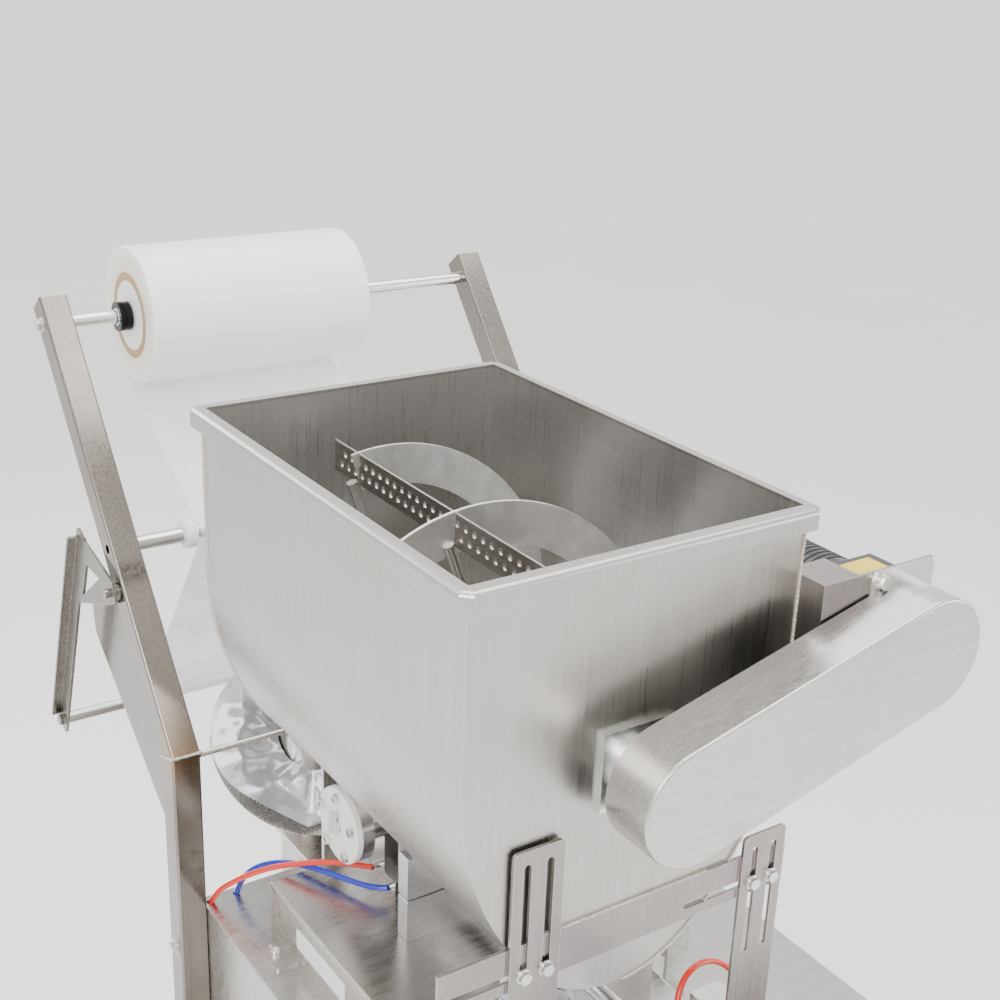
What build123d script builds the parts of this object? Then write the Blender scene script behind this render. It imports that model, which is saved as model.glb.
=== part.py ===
"""Vertical form fill sealer for sauces: a bag-forming packing machine with a stirred hopper.

Frame: +X along the film axles, +Y from the service side to the bag-making side, +Z up.
The origin is on the floor, under the middle of the machine's box.  Millimetres.
"""

from build123d import *
import os
from math import atan2, cos, degrees, hypot, radians, sin, tan

os.makedirs("parts", exist_ok=True)

# ---- driving dimensions ----------------------------------------------------
sheet = 2.0
deck_z = 950.0
cabinet_width = 491.0
cabinet_front = -482.0
cabinet_rear = 138.0
foot_height = 66.0

rim_z = 1504.0
rim_width = 334.0
rim_length = 466.0
rim_front = -364.0
rim_depth = 17.0
rim_corner = 8.0
rim_round = 5.0
hopper_x = -84.5
hopper_width = 314.0
hopper_front = -352.0
hopper_rear = 90.0
trough_straight = 160.0
trough_side_radius = 275.0
trough_turn = 46.0

shaft_z = 1323.0
shaft_diameter = 20.0
ribbon_radius = 144.0
ribbon_width = 38.0
ribbon_pitch = 165.0
motor_x = 158.5
motor_z = 1384.0
guard_radius = 50.0
guard_front = -430.0
guard_rear = -382.0

pump_x = -54.5
pump_z = 1053.0
valve_y = -6.0
valve_z = 1092.0

post_size = 30.0
post_y = 132.0
post_bottom_z = 500.0
knee_z = 1132.0
axle_y = 431.0
axle_z = 1503.0
axle_diameter = 16.0
post_overrun = 26.0
roll_radius = 75.0
roll_width = 258.0
roll_x = -50.5
core_radius = 47.0
guide_y = 269.0
guide_z = 1306.0
dancer_pivot_y = 251.0
dancer_pivot_z = 1266.0
lever_top_y = 338.0
lever_top_z = 1289.0
dancer_y = 446.0
dancer_z = 1024.0

tube_x = -50.5
tube_y = 265.0
tube_radius = 36.0
tube_top_z = 1108.0
tube_bottom_z = 560.0
sealer_z = 770.0
pull_z = 620.0
jaw_z = 500.0

running_gap = 0.05
free_gap = 0.4

half_cabinet = cabinet_width / 2
cabinet_mid_y = (cabinet_front + cabinet_rear) / 2
cabinet_length = cabinet_rear - cabinet_front
post_x = half_cabinet + post_size / 2


# ---- shared shapes ---------------------------------------------------------
def block(x_span, y_span, z_span):
    """A box between three pairs of coordinates, added to the part in hand."""
    middle = [(span[0] + span[1]) / 2 for span in (x_span, y_span, z_span)]
    with Locations(tuple(middle)):
        Box(x_span[1] - x_span[0], y_span[1] - y_span[0], z_span[1] - z_span[0])


def cut_block(x_span, y_span, z_span):
    """The same box, taken away."""
    middle = [(span[0] + span[1]) / 2 for span in (x_span, y_span, z_span)]
    with Locations(tuple(middle)):
        Box(x_span[1] - x_span[0], y_span[1] - y_span[0], z_span[1] - z_span[0], mode=Mode.SUBTRACT)


def rod(start, end, radius, mode=Mode.ADD):
    """A round bar between two points along one axis of the frame."""
    middle = tuple((a + b) / 2 for a, b in zip(start, end))
    run = Vector(*end) - Vector(*start)
    turn = {0: (0, 90, 0), 1: (90, 0, 0), 2: (0, 0, 0)}
    along = max(range(3), key=lambda i: abs(tuple(run)[i]))
    with Locations(Location(middle, turn[along])):
        Cylinder(radius, run.length, mode=mode)


def hex_bolt(centre, facing, across_flats, head, washer_radius=0.0):
    """A hexagon head on its washer; facing is the outward direction of the head."""
    plane = Plane(origin=centre, z_dir=facing)
    washer_thickness = 0.15 * washer_radius
    if washer_radius > 0:
        with BuildSketch(plane) as washer:
            Circle(washer_radius)
        extrude(washer.sketch, amount=washer_thickness)
    with BuildSketch(plane.offset(washer_thickness)) as hexagon:
        RegularPolygon(across_flats / 2, 6, major_radius=False)
    extrude(hexagon.sketch, amount=head)


def socket_screw(centre, facing, radius, head):
    """A cylinder head with a hexagon socket."""
    plane = Plane(origin=centre, z_dir=facing)
    with BuildSketch(plane) as disc:
        Circle(radius)
    extrude(disc.sketch, amount=head)
    with BuildSketch(plane.offset(head)) as socket:
        RegularPolygon(radius * 0.55, 6, major_radius=False)
    extrude(socket.sketch, amount=-head / 2, mode=Mode.SUBTRACT)


def cord_radii(points):
    """Bend radii of a hose route: 0.45 of the shorter run over the tangent of half the turn."""
    radii = []
    for before, here, after in zip(points, points[1:], points[2:]):
        run_in = Vector(*here) - Vector(*before)
        run_out = Vector(*after) - Vector(*here)
        turn = radians(run_in.get_angle(run_out))
        radii.append(0.45 * min(run_in.length, run_out.length) / tan(turn / 2))
    return radii


# ---- cabinet ---------------------------------------------------------------
feet_x = half_cabinet - 40
feet_y = (cabinet_front + 45, cabinet_rear - 45)
pad_radius = 25.0
pad_height = 14.0
stud_radius = 6.0

with BuildPart() as levelling_feet:
    for side in (-1, 1):
        for foot_y in feet_y:
            with BuildSketch(Plane.XY.move(Location((side * feet_x, foot_y, 0)))):
                Circle(pad_radius)
            extrude(amount=pad_height, taper=8)
            rod((side * feet_x, foot_y, pad_height), (side * feet_x, foot_y, foot_height), stud_radius)
            hex_bolt((side * feet_x, foot_y, foot_height - 10), (0, 0, 1), 19, 10)
levelling_feet.part.label = "levelling_feet"
export_step(levelling_feet.part, "parts/levelling_feet.step")

base_top = foot_height + 4
frame_inset = 3.0
with BuildPart() as base_frame:
    block((-half_cabinet + sheet, half_cabinet - sheet), (cabinet_front + sheet, cabinet_rear - 7),
          (foot_height, base_top))
    for side in (-1, 1):
        for post_mid_y in (cabinet_front + frame_inset + 16, cabinet_rear - 24):
            post_mid_x = side * (half_cabinet - frame_inset - 15)
            with BuildSketch(Plane.XY.offset(base_top)):
                with Locations((post_mid_x, post_mid_y)):
                    Rectangle(post_size, post_size)
                    Rectangle(post_size - 2 * sheet, post_size - 2 * sheet, mode=Mode.SUBTRACT)
            extrude(amount=deck_z - 3 - base_top)
base_frame.part.label = "base_frame"
export_step(base_frame.part, "parts/base_frame.step")

deck_skirt = 20.0
with BuildPart() as deck_plate:
    with BuildSketch(Plane.XY.offset(deck_z)):
        with Locations((0, cabinet_mid_y)):
            Rectangle(cabinet_width, cabinet_length)
    extrude(amount=-deck_skirt)
    fillet(deck_plate.edges().filter_by(Axis.Z), 5)
    fillet(deck_plate.faces().sort_by(Axis.Z)[-1].edges(), 1.5)
    cut_block((-half_cabinet + sheet, half_cabinet - sheet), (cabinet_front + sheet, cabinet_rear - sheet),
              (deck_z - deck_skirt - 1, deck_z - 3))
    for hole_x, hole_y in ((-238.5, 127.0), (-208.5, 127.0)):
        rod((hole_x, hole_y, deck_z - deck_skirt - 1), (hole_x, hole_y, deck_z + 1), 3.6, Mode.SUBTRACT)
deck_plate.part.label = "deck_plate"
export_step(deck_plate.part, "parts/deck_plate.step")

panel_bottom = foot_height - 4
hinge_x = -half_cabinet + 2
hinge_y = cabinet_front - 5
hinge_heights = (250.0, 750.0)
hinge_pin_radius = 3.0
hinge_knuckle_radius = 5.0
panel_top = deck_z - deck_skirt
with BuildPart() as side_panels:
    for side in (-1, 1):
        block(sorted((side * half_cabinet, side * (half_cabinet - sheet))), (cabinet_front + 4, cabinet_rear - 2),
              (panel_bottom, panel_top))
    for hinge_z in hinge_heights:
        rod((hinge_x, hinge_y, hinge_z - 30), (hinge_x, hinge_y, hinge_z + 30), hinge_pin_radius)
        for end in (-1, 1):
            knuckle = sorted((hinge_z + end * 15.5, hinge_z + end * 30))
            rod((hinge_x, hinge_y, knuckle[0]), (hinge_x, hinge_y, knuckle[1]), hinge_knuckle_radius)
            block((hinge_x - 2, hinge_x), (hinge_y, cabinet_front + 4), knuckle)
side_panels.part.label = "side_panels"
export_step(side_panels.part, "parts/side_panels.step")

plate_front = cabinet_rear - 6
with BuildPart() as mechanism_plate:
    block((-half_cabinet + 3, half_cabinet - 3), (plate_front, cabinet_rear), (base_top, panel_top))
    fillet(mechanism_plate.edges().filter_by(Axis.Y), 6)
mechanism_plate.part.label = "mechanism_plate"
export_step(mechanism_plate.part, "parts/mechanism_plate.step")

# ---- service door on the hopper side ---------------------------------------
door_half = half_cabinet - 8
door_bottom = base_top + 8
door_top = panel_top - 4
latch_x = door_half - 35
latch_z = 500.0
latch_reach = 36.0
knob_reach = axle_y + roll_radius + cabinet_front
flange_half = door_half - 30
with BuildPart() as service_door:
    block((-door_half, door_half), (cabinet_front, cabinet_front + sheet), (door_bottom, door_top))
    for flange_z in (door_bottom, door_top - sheet):
        block((-flange_half, flange_half), (cabinet_front + sheet, cabinet_front + 16), (flange_z, flange_z + sheet))
    for hinge_z in hinge_heights:
        block((hinge_x + 4, hinge_x + 34), (cabinet_front - 2, cabinet_front), (hinge_z - 30, hinge_z + 30))
        block((hinge_x, hinge_x + 6), (hinge_y - 2, cabinet_front), (hinge_z - 15, hinge_z + 15))
        rod((hinge_x, hinge_y, hinge_z - 15), (hinge_x, hinge_y, hinge_z + 15), hinge_knuckle_radius)
        rod((hinge_x, hinge_y, hinge_z - 15), (hinge_x, hinge_y, hinge_z + 15), hinge_pin_radius + running_gap, Mode.SUBTRACT)
    rod((latch_x, cabinet_front - 1, latch_z), (latch_x, cabinet_front + 3, latch_z), 6 + running_gap,
        Mode.SUBTRACT)
service_door.part.label = "service_door"
export_step(service_door.part, "parts/service_door.step")

with BuildPart() as door_latch:
    rod((latch_x, cabinet_front - 8, latch_z), (latch_x, cabinet_front, latch_z), 16)
    rod((latch_x, cabinet_front, latch_z), (latch_x, cabinet_front + latch_reach, latch_z), 6)
    block((latch_x - 4, latch_x + 4), (cabinet_front - knob_reach, cabinet_front - 8), (latch_z - 16, latch_z + 16))
    block((latch_x - 7, latch_x + 7), (cabinet_front + latch_reach, cabinet_front + latch_reach + 3),
          (latch_z - 6, latch_z + 28))
door_latch.part.label = "door_latch"
export_step(door_latch.part, "parts/door_latch.step")

# ---- controls inside the cabinet --------------------------------------------
panel_face_y = 60.0
panel_half = 170.0
panel_top = 640.0
panel_sheet = 3.0
controller = ((-150, -30), (-10, panel_face_y), (480, 600))
power_supply = ((-10, 150), (0, panel_face_y), (470, 600))
valve_rail = ((-150, 150), (20, panel_face_y), (360, 400))
transformer = ((-150, 20), (-30, panel_face_y), (110, 280))
air_valves = 6
air_valve_first = -130.0
air_valve_pitch = 46.0
air_valve_width = 30.0
with BuildPart() as control_unit:
    block((-panel_half, panel_half), (panel_face_y, panel_face_y + panel_sheet), (base_top, panel_top))
    for device in (controller, power_supply, valve_rail, transformer):
        block(*device)
    for valve_index in range(air_valves):
        left = air_valve_first + air_valve_pitch * valve_index
        block((left, left + air_valve_width), (0, 20), (352, 408))
control_unit.part.label = "control_unit"
export_step(control_unit.part, "parts/control_unit.step")

# ---- raised box on the deck -------------------------------------------------
box_x = (-204.5, 45.0)
box_y = (-310.0, 55.0)
box_top = deck_z + 57
box_mid = ((box_x[0] + box_x[1]) / 2, (box_y[0] + box_y[1]) / 2)
tab_y = (-11.0, 50.0)
tab_screw = (-217.5, 14.0)
with BuildPart() as raised_box:
    with BuildSketch(Plane.XY.offset(deck_z)):
        with Locations(box_mid):
            Rectangle(box_x[1] - box_x[0], box_y[1] - box_y[0])
    extrude(amount=box_top - deck_z)
    fillet(raised_box.edges().filter_by(Axis.Z), 4)
    fillet(raised_box.faces().sort_by(Axis.Z)[-1].edges(), 3)
    cut_block((box_x[0] + sheet, box_x[1] - sheet), (box_y[0] + sheet, box_y[1] - sheet),
              (deck_z - 1, box_top - sheet))
    with BuildSketch(Plane.XY.offset(deck_z)):
        with Locations(((tab_screw[0] + box_x[0]) / 2 - 4, (tab_y[0] + tab_y[1]) / 2)):
            RectangleRounded(box_x[0] - tab_screw[0] + 14, tab_y[1] - tab_y[0], 5)
        with Locations((tab_screw[0], tab_screw[1] + 6)):
            SlotOverall(18, 6, rotation=90, mode=Mode.SUBTRACT)
    extrude(amount=2.5)
raised_box.part.label = "raised_box"
export_step(raised_box.part, "parts/raised_box.step")


# ---- hopper ----------------------------------------------------------------
def trough_profile(inset, top_z):
    """Closed U outline: straight sides, large side arcs and a bottom arc, all tangent."""
    half = hopper_width / 2 - inset
    side_radius = trough_side_radius - inset
    turn = radians(trough_turn)
    arc_z = rim_z - trough_straight
    side_centre = half - side_radius
    end_x = side_centre + side_radius * cos(turn)
    end_z = arc_z - side_radius * sin(turn)
    bottom_radius = end_x / cos(turn)
    bottom_centre = end_z + bottom_radius * sin(turn)
    with BuildLine() as outline:
        Line((half, arc_z), (half, top_z))
        Line((half, top_z), (-half, top_z))
        Line((-half, top_z), (-half, arc_z))
        CenterArc((-side_centre, arc_z), side_radius, 180, trough_turn)
        CenterArc((0, bottom_centre), bottom_radius, 180 + trough_turn, 180 - 2 * trough_turn)
        CenterArc((side_centre, arc_z), side_radius, 360 - trough_turn, trough_turn)
    make_face(outline.edges())


hopper_length = hopper_rear - hopper_front
hopper_plane = Plane(origin=(hopper_x, hopper_front, 0), x_dir=(1, 0, 0), z_dir=(0, -1, 0))
with BuildPart() as hopper:
    with BuildSketch(hopper_plane):
        trough_profile(0, rim_z - rim_depth / 2)
    extrude(amount=-hopper_length)
    with BuildSketch(Plane.XY.offset(rim_z - rim_depth)):
        with Locations((hopper_x, rim_front + rim_length / 2)):
            Rectangle(rim_width, rim_length)
    extrude(amount=rim_depth)
    rim_corners = hopper.edges().filter_by(Axis.Z).group_by(SortBy.LENGTH)[0]
    chamfer(rim_corners.filter_by_position(Axis.Z, rim_z - rim_depth, rim_z), rim_corner)
    fillet(hopper.faces().sort_by(Axis.Z)[-1].outer_wire().edges(), rim_round)
    with BuildSketch(hopper_plane.offset(-sheet)):
        trough_profile(sheet, rim_z + 1)
    extrude(amount=-(hopper_length - 2 * sheet), mode=Mode.SUBTRACT)
    rod((hopper_x, hopper_front - 1, shaft_z), (hopper_x, hopper_front + 3, shaft_z), 14, Mode.SUBTRACT)
    rod((hopper_x, hopper_rear - 3, shaft_z), (hopper_x, hopper_rear + 1, shaft_z), 14, Mode.SUBTRACT)
    rod((hopper_x, valve_y, valve_z), (hopper_x, valve_y, valve_z + 60), 14, Mode.SUBTRACT)
hopper.part.label = "hopper"
export_step(hopper.part, "parts/hopper.step")

# ---- hopper supports: slotted cross plates and brackets -----------------------
support_sheet = 3.0
cross_top = 1193.0
cross_bottom = 1153.0
cross_half = 174.5
rear_cross_left = 62.0
cross_slot_z = 1166.0
cross_slot_x = 118.0
cross_slot_length = 110.0
slot_width = 7.0
bracket_width = 47.0
bracket_slot_gap = 21.0
bracket_slot_length = 108.0
bracket_slot_drop = 12.0
bracket_left = (-173.5, 1279.0)
bracket_right = (62.5, 1213.0)
bracket_rear = (-2.0, 1213.0)
front_brackets = (bracket_left, bracket_right)
rear_brackets = (bracket_rear, bracket_right)
front_bracket_face = hopper_front - 2 * support_sheet
rear_bracket_face = hopper_rear + 2 * support_sheet
bracket_foot = 34.0
with BuildPart() as hopper_supports:
    with BuildSketch(Plane(origin=(hopper_x, hopper_front, 0), x_dir=(1, 0, 0), z_dir=(0, -1, 0))):
        with Locations((0, (cross_top + cross_bottom) / 2)):
            Rectangle(2 * cross_half, cross_top - cross_bottom)
        with Locations((-cross_slot_x, cross_slot_z), (cross_slot_x, cross_slot_z)):
            SlotOverall(cross_slot_length, slot_width, mode=Mode.SUBTRACT)
    extrude(amount=support_sheet)
    with BuildSketch(Plane(origin=(hopper_x, hopper_rear + support_sheet, 0), x_dir=(1, 0, 0), z_dir=(0, -1, 0))):
        with Locations(((cross_half - rear_cross_left) / 2, (cross_top + cross_bottom) / 2)):
            Rectangle(cross_half + rear_cross_left, cross_top - cross_bottom)
        with Locations((cross_slot_x, cross_slot_z)):
            SlotOverall(cross_slot_length, slot_width, mode=Mode.SUBTRACT)
    extrude(amount=support_sheet)
    for face_y, outward, bracket_row in (
        (front_bracket_face, -1, front_brackets),
        (rear_bracket_face, 1, rear_brackets),
    ):
        face_plane = Plane(origin=(0, face_y, 0), x_dir=(1, 0, 0), z_dir=(0, -1, 0))
        for mid_x, top_z in bracket_row:
            slot_z = top_z - bracket_slot_drop - bracket_slot_length / 2
            with BuildSketch(face_plane):
                with Locations((mid_x, (top_z + deck_z) / 2)):
                    Rectangle(bracket_width, top_z - deck_z)
                fillet(vertices().group_by(Axis.Y)[-1], 5)
                with Locations((mid_x - bracket_slot_gap / 2, slot_z), (mid_x + bracket_slot_gap / 2, slot_z)):
                    SlotOverall(bracket_slot_length, slot_width, rotation=90, mode=Mode.SUBTRACT)
            extrude(amount=support_sheet if outward > 0 else -support_sheet)
            foot_span = sorted((face_y, face_y + outward * bracket_foot))
            block((mid_x - bracket_width / 2, mid_x + bracket_width / 2), foot_span,
                  (deck_z, deck_z + support_sheet))
hopper_supports.part.label = "hopper_supports"
export_step(hopper_supports.part, "parts/hopper_supports.step")

# ---- metering pump -----------------------------------------------------------
pump_radius = 31.0
piston_bore = 25.0
pump_front = -287.0
pump_back = -62.0
piston_rod_radius = 8.0
clamp_half = 79.0
clamp_top = 1099.0
clamp_positions = (-91.5, -265.0)
clamp_thickness = 17.0
clamp_screw_x = 64.0
with BuildPart() as pump_cylinder:
    rod((pump_x, pump_front, pump_z), (pump_x, pump_back, pump_z), pump_radius)
    rod((pump_x, pump_front - 6, pump_z), (pump_x, pump_front, pump_z), pump_radius - 7)
    rod((pump_x, pump_front + 10, pump_z), (pump_x, pump_back + 1, pump_z), piston_bore, Mode.SUBTRACT)
    rod((pump_x, pump_front - 7, pump_z), (pump_x, pump_front + 11, pump_z), piston_rod_radius + running_gap,
        Mode.SUBTRACT)
pump_cylinder.part.label = "pump_cylinder"
export_step(pump_cylinder.part, "parts/pump_cylinder.step")

with BuildPart() as pump_clamps:
    for clamp_y in clamp_positions:
        clamp_span = (clamp_y - clamp_thickness / 2, clamp_y + clamp_thickness / 2)
        block((pump_x - clamp_half, pump_x + clamp_half), clamp_span, (box_top, pump_z - 1))
        block((pump_x - clamp_half, pump_x + clamp_half), clamp_span, (pump_z + 1, clamp_top))
    chamfer(pump_clamps.edges().filter_by(Axis.Y), 1)
    for clamp_y in clamp_positions:
        rod((pump_x, clamp_y - clamp_thickness, pump_z), (pump_x, clamp_y + clamp_thickness, pump_z),
            pump_radius, Mode.SUBTRACT)
pump_clamps.part.label = "pump_clamps"
export_step(pump_clamps.part, "parts/pump_clamps.step")

stroke = 35.0
piston_y = -180.0
coupler_y = -345.0
cylinder_face = -375.0
air_half = 32.0
with BuildPart() as drive_cylinder:
    block((pump_x - air_half, pump_x + air_half), (cylinder_face - 100, cylinder_face),
          (pump_z - air_half, pump_z + air_half))
    fillet(drive_cylinder.edges().filter_by(Axis.Y), 6)
    block((pump_x - air_half, pump_x + air_half), (cylinder_face - 100, cylinder_face - 82),
          (deck_z + 6, pump_z - air_half))
    block((pump_x - air_half, pump_x + air_half), (cylinder_face - 18, cylinder_face),
          (deck_z + 6, pump_z - air_half))
    block((pump_x - 55, pump_x + 55), (cylinder_face - 100, cylinder_face), (deck_z, deck_z + 6))
    rod((pump_x, cylinder_face - 96, pump_z), (pump_x, cylinder_face + 1, pump_z),
        piston_rod_radius + running_gap, Mode.SUBTRACT)
drive_cylinder.part.label = "drive_cylinder"
export_step(drive_cylinder.part, "parts/drive_cylinder.step")

with BuildPart() as pump_piston:
    rod((pump_x, cylinder_face - 92 + stroke, pump_z), (pump_x, piston_y, pump_z), piston_rod_radius)
    rod((pump_x, piston_y, pump_z), (pump_x, piston_y + 20, pump_z), piston_bore - running_gap)
    rod((pump_x, coupler_y - 11, pump_z), (pump_x, coupler_y + 11, pump_z), 13)
pump_piston.part.label = "pump_piston"
export_step(pump_piston.part, "parts/pump_piston.step")

# ---- product valve -------------------------------------------------------------
valve_radius = 23.5
valve_x = (-139.5, -34.0)
flange_radius = 39.0
flange_x = (-157.5, -150.5)
rotor_radius = 15.0
actuator_x = (-30.0, 40.0)
port_radius = 16.0
port_bore = 12.0
port_flange_radius = 25.0
fitting_radius = 4.5
valve_foot_x = (-113.0, -97.0)
with BuildPart() as valve_body:
    rod((valve_x[0], valve_y, valve_z), (valve_x[1], valve_y, valve_z), valve_radius)
    rod((flange_x[1], valve_y, valve_z), (valve_x[0] + 2, valve_y, valve_z), flange_radius)
    rod((pump_x, pump_back, pump_z), (pump_x, pump_back + 12, pump_z), pump_radius)
    rod((pump_x, pump_back + 12, pump_z), (pump_x, valve_y, pump_z), port_radius)
    block(valve_foot_x, (valve_y - 14, valve_y + 18), (box_top, valve_z - 20))
    block(valve_foot_x, (valve_y - 36, valve_y - 14), (box_top, box_top + 24))
    rod((-122, -12, 1035), (valve_foot_x[0], -12, 1035), fitting_radius)
    rod((-117, -34, 1022), (valve_foot_x[0], -34, 1022), fitting_radius)
    block((pump_x - port_radius, pump_x + port_radius), (valve_y - port_radius, valve_y + port_radius),
          (box_top, valve_z - 20))
    rod((hopper_x, valve_y, valve_z), (hopper_x, valve_y, rim_z - 388.5), port_radius + 1)
    rod((pump_x, valve_y, valve_z), (pump_x, valve_y + 34, valve_z), port_radius)
    rod((pump_x, valve_y + 30, valve_z), (pump_x, valve_y + 34, valve_z), port_flange_radius)
    rod((flange_x[1] - 1, valve_y, valve_z), (valve_x[1] + 1, valve_y, valve_z), rotor_radius + running_gap,
        Mode.SUBTRACT)
    rod((hopper_x, valve_y, valve_z), (hopper_x, valve_y, rim_z - 380), port_bore, Mode.SUBTRACT)
    rod((pump_x, valve_y, valve_z), (pump_x, valve_y + 35, valve_z), port_bore, Mode.SUBTRACT)
    rod((pump_x, pump_back - 1, pump_z), (pump_x, valve_y, pump_z), port_bore, Mode.SUBTRACT)
    rod((pump_x, valve_y, pump_z), (pump_x, valve_y, valve_z), port_bore, Mode.SUBTRACT)
valve_body.part.label = "valve_body"
export_step(valve_body.part, "parts/valve_body.step")

with BuildPart() as valve_flange:
    rod((flange_x[0], valve_y, valve_z), (flange_x[1], valve_y, valve_z), flange_radius)
    fillet(valve_flange.faces().sort_by(Axis.X)[0].edges(), 2)
    rod((flange_x[0] - 1, valve_y, valve_z), (flange_x[1] + 1, valve_y, valve_z), 6.5, Mode.SUBTRACT)
valve_flange.part.label = "valve_flange"
export_step(valve_flange.part, "parts/valve_flange.step")

with BuildPart() as valve_rotor:
    rod((valve_x[0], valve_y, valve_z), (valve_x[1] - 1, valve_y, valve_z), rotor_radius)
    rod((flange_x[0] - 8, valve_y, valve_z), (valve_x[0], valve_y, valve_z), 6)
    rod((valve_x[1] - 1, valve_y, valve_z), (actuator_x[0] + 30, valve_y, valve_z), 6)
    block((flange_x[0] - 8, flange_x[0] - 3), (valve_y - 3, valve_y + 3), (valve_z, valve_z + 18))
    rod((hopper_x, valve_y, valve_z), (hopper_x, valve_y, valve_z + rotor_radius + 1), 9, Mode.SUBTRACT)
    rod((hopper_x, valve_y, valve_z), (pump_x, valve_y, valve_z), 8, Mode.SUBTRACT)
    rod((pump_x, valve_y, valve_z - rotor_radius - 1), (pump_x, valve_y, valve_z), 9, Mode.SUBTRACT)
valve_rotor.part.label = "valve_rotor"
export_step(valve_rotor.part, "parts/valve_rotor.step")

with BuildPart() as valve_actuator:
    block((actuator_x[0], actuator_x[1]), (valve_y - 29, valve_y + 29), (box_top, valve_z + 20))
    fillet(valve_actuator.edges().filter_by(Axis.X), 4)
    rod((actuator_x[0] + 35, valve_y - 48, valve_z - 30), (actuator_x[0] + 35, valve_y + 48, valve_z - 30), 17)
    rod((actuator_x[0] - 1, valve_y, valve_z), (actuator_x[0] + 32, valve_y, valve_z), 6 + running_gap,
        Mode.SUBTRACT)
valve_actuator.part.label = "valve_actuator"
export_step(valve_actuator.part, "parts/valve_actuator.step")

pipe_radius = 14.0
pipe_wall = 1.5
pipe_high_z = 1150.0
pipe_start = valve_y + 34
with BuildPart() as discharge_pipe:
    with BuildLine() as pipe_path:
        FilletPolyline(
            (pump_x, pipe_start, valve_z),
            (pump_x, 128, valve_z),
            (pump_x, 168, pipe_high_z),
            (tube_x, tube_y, pipe_high_z),
            (tube_x, tube_y, pull_z + 40),
            radius=26,
        )
    with BuildSketch(Plane(origin=(pump_x, pipe_start, valve_z), z_dir=(0, 1, 0))):
        Circle(pipe_radius)
        Circle(pipe_radius - pipe_wall, mode=Mode.SUBTRACT)
    sweep()
    with BuildSketch(Plane(origin=(pump_x, pipe_start, valve_z), z_dir=(0, 1, 0))):
        Circle(25)
        Circle(pipe_radius - pipe_wall, mode=Mode.SUBTRACT)
    extrude(amount=4)
discharge_pipe.part.label = "discharge_pipe"
export_step(discharge_pipe.part, "parts/discharge_pipe.step")

# ---- air hoses --------------------------------------------------------------------
hose_radius = 3.0
red_hose_route = [
    (-122.0, -12.0, 1035.0),
    (-137.0, 6.0, 1034.0),
    (-154.0, 26.0, 1030.0),
    (-172.0, 47.0, 1022.0),
    (-190.0, 68.0, 1012.0),
    (-207.0, 88.0, 998.0),
    (-222.0, 106.0, 981.0),
    (-233.0, 120.0, 965.0),
    (-238.0, 126.5, 948.0),
]
blue_hose_route = [
    (-117.0, -34.0, 1022.0),
    (-126.0, -27.0, 1021.0),
    (-135.0, -11.0, 1019.0),
    (-144.0, 9.0, 1017.5),
    (-155.0, 31.0, 1016.5),
    (-167.0, 55.0, 1014.0),
    (-182.0, 82.0, 1007.0),
    (-197.0, 107.0, 990.0),
    (-206.0, 122.0, 967.0),
    (-208.5, 127.0, 948.0),
]
front_hose_route = [
    (116.0, -318.0, 975.0),
    (112.0, -312.0, 990.0),
    (102.0, -304.0, 1012.0),
    (82.0, -300.0, 1033.0),
    (56.0, -300.0, 1042.0),
    (34.0, -304.0, 1034.0),
    (21.0, -313.0, 1014.0),
    (15.0, -326.0, 990.0),
    (13.0, -332.0, 970.0),
]


with BuildPart() as red_hose:
    with BuildLine():
        red_path = FilletPolyline(*red_hose_route, radius=cord_radii(red_hose_route))
    with BuildSketch(Plane(origin=red_path @ 0, z_dir=red_path % 0)):
        Circle(hose_radius)
    sweep()
red_hose.part.label = "red_hose"
export_step(red_hose.part, "parts/red_hose.step")

with BuildPart() as blue_hose:
    with BuildLine():
        blue_path = FilletPolyline(*blue_hose_route, radius=cord_radii(blue_hose_route))
    with BuildSketch(Plane(origin=blue_path @ 0, z_dir=blue_path % 0)):
        Circle(hose_radius)
    sweep()
blue_hose.part.label = "blue_hose"
export_step(blue_hose.part, "parts/blue_hose.step")

with BuildPart() as front_hose:
    with BuildLine():
        front_path = FilletPolyline(*front_hose_route, radius=cord_radii(front_hose_route))
    with BuildSketch(Plane(origin=front_path @ 0, z_dir=front_path % 0)):
        Circle(hose_radius)
    sweep()
front_hose.part.label = "front_hose"
export_step(front_hose.part, "parts/front_hose.step")

for hose_name, hose, hose_path, hose_route in (
    ("red", red_hose, red_path, red_hose_route),
    ("blue", blue_hose, blue_path, blue_hose_route),
    ("front", front_hose, front_path, front_hose_route),
):
    section = 3.14159 * hose_radius**2
    print(hose_name, "hose radii", [round(radius, 1) for radius in cord_radii(hose_route)])
    print(hose_name, "hose length", round(hose_path.length, 1), "volume check",
          round(hose.part.volume / (section * hose_path.length), 4))

# ---- air unit and fittings ------------------------------------------------------------
manifold_top = 972.0
manifold_spot = (116.0, -318.0)
elbow_top = 966.0
elbow_spot = (13.0, -332.0)
collet_radius = 5.5
regulator_z = 1030.0
regulator_x = 79.0
regulator_radius = 11.0
with BuildPart() as air_unit:
    block((98, 134), (-345, -250), (deck_z, deck_z + 5))
    block((100, 132), (-334, -302), (deck_z + 5, manifold_top))
    rod((*manifold_spot, manifold_top), (*manifold_spot, manifold_top + 3), collet_radius)
    block((64, 90), (-250, -246), (deck_z, regulator_z + 18))
    block((64, 68), (-246, -212), (box_top, regulator_z + 22))
    rod((regulator_x, -246, regulator_z), (regulator_x, -200, regulator_z), regulator_radius)
    block((2, 24), (-346, -318), (deck_z, elbow_top))
    rod((*elbow_spot, elbow_top), (*elbow_spot, elbow_top + 4), collet_radius)
air_unit.part.label = "air_unit"
export_step(air_unit.part, "parts/air_unit.step")

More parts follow.
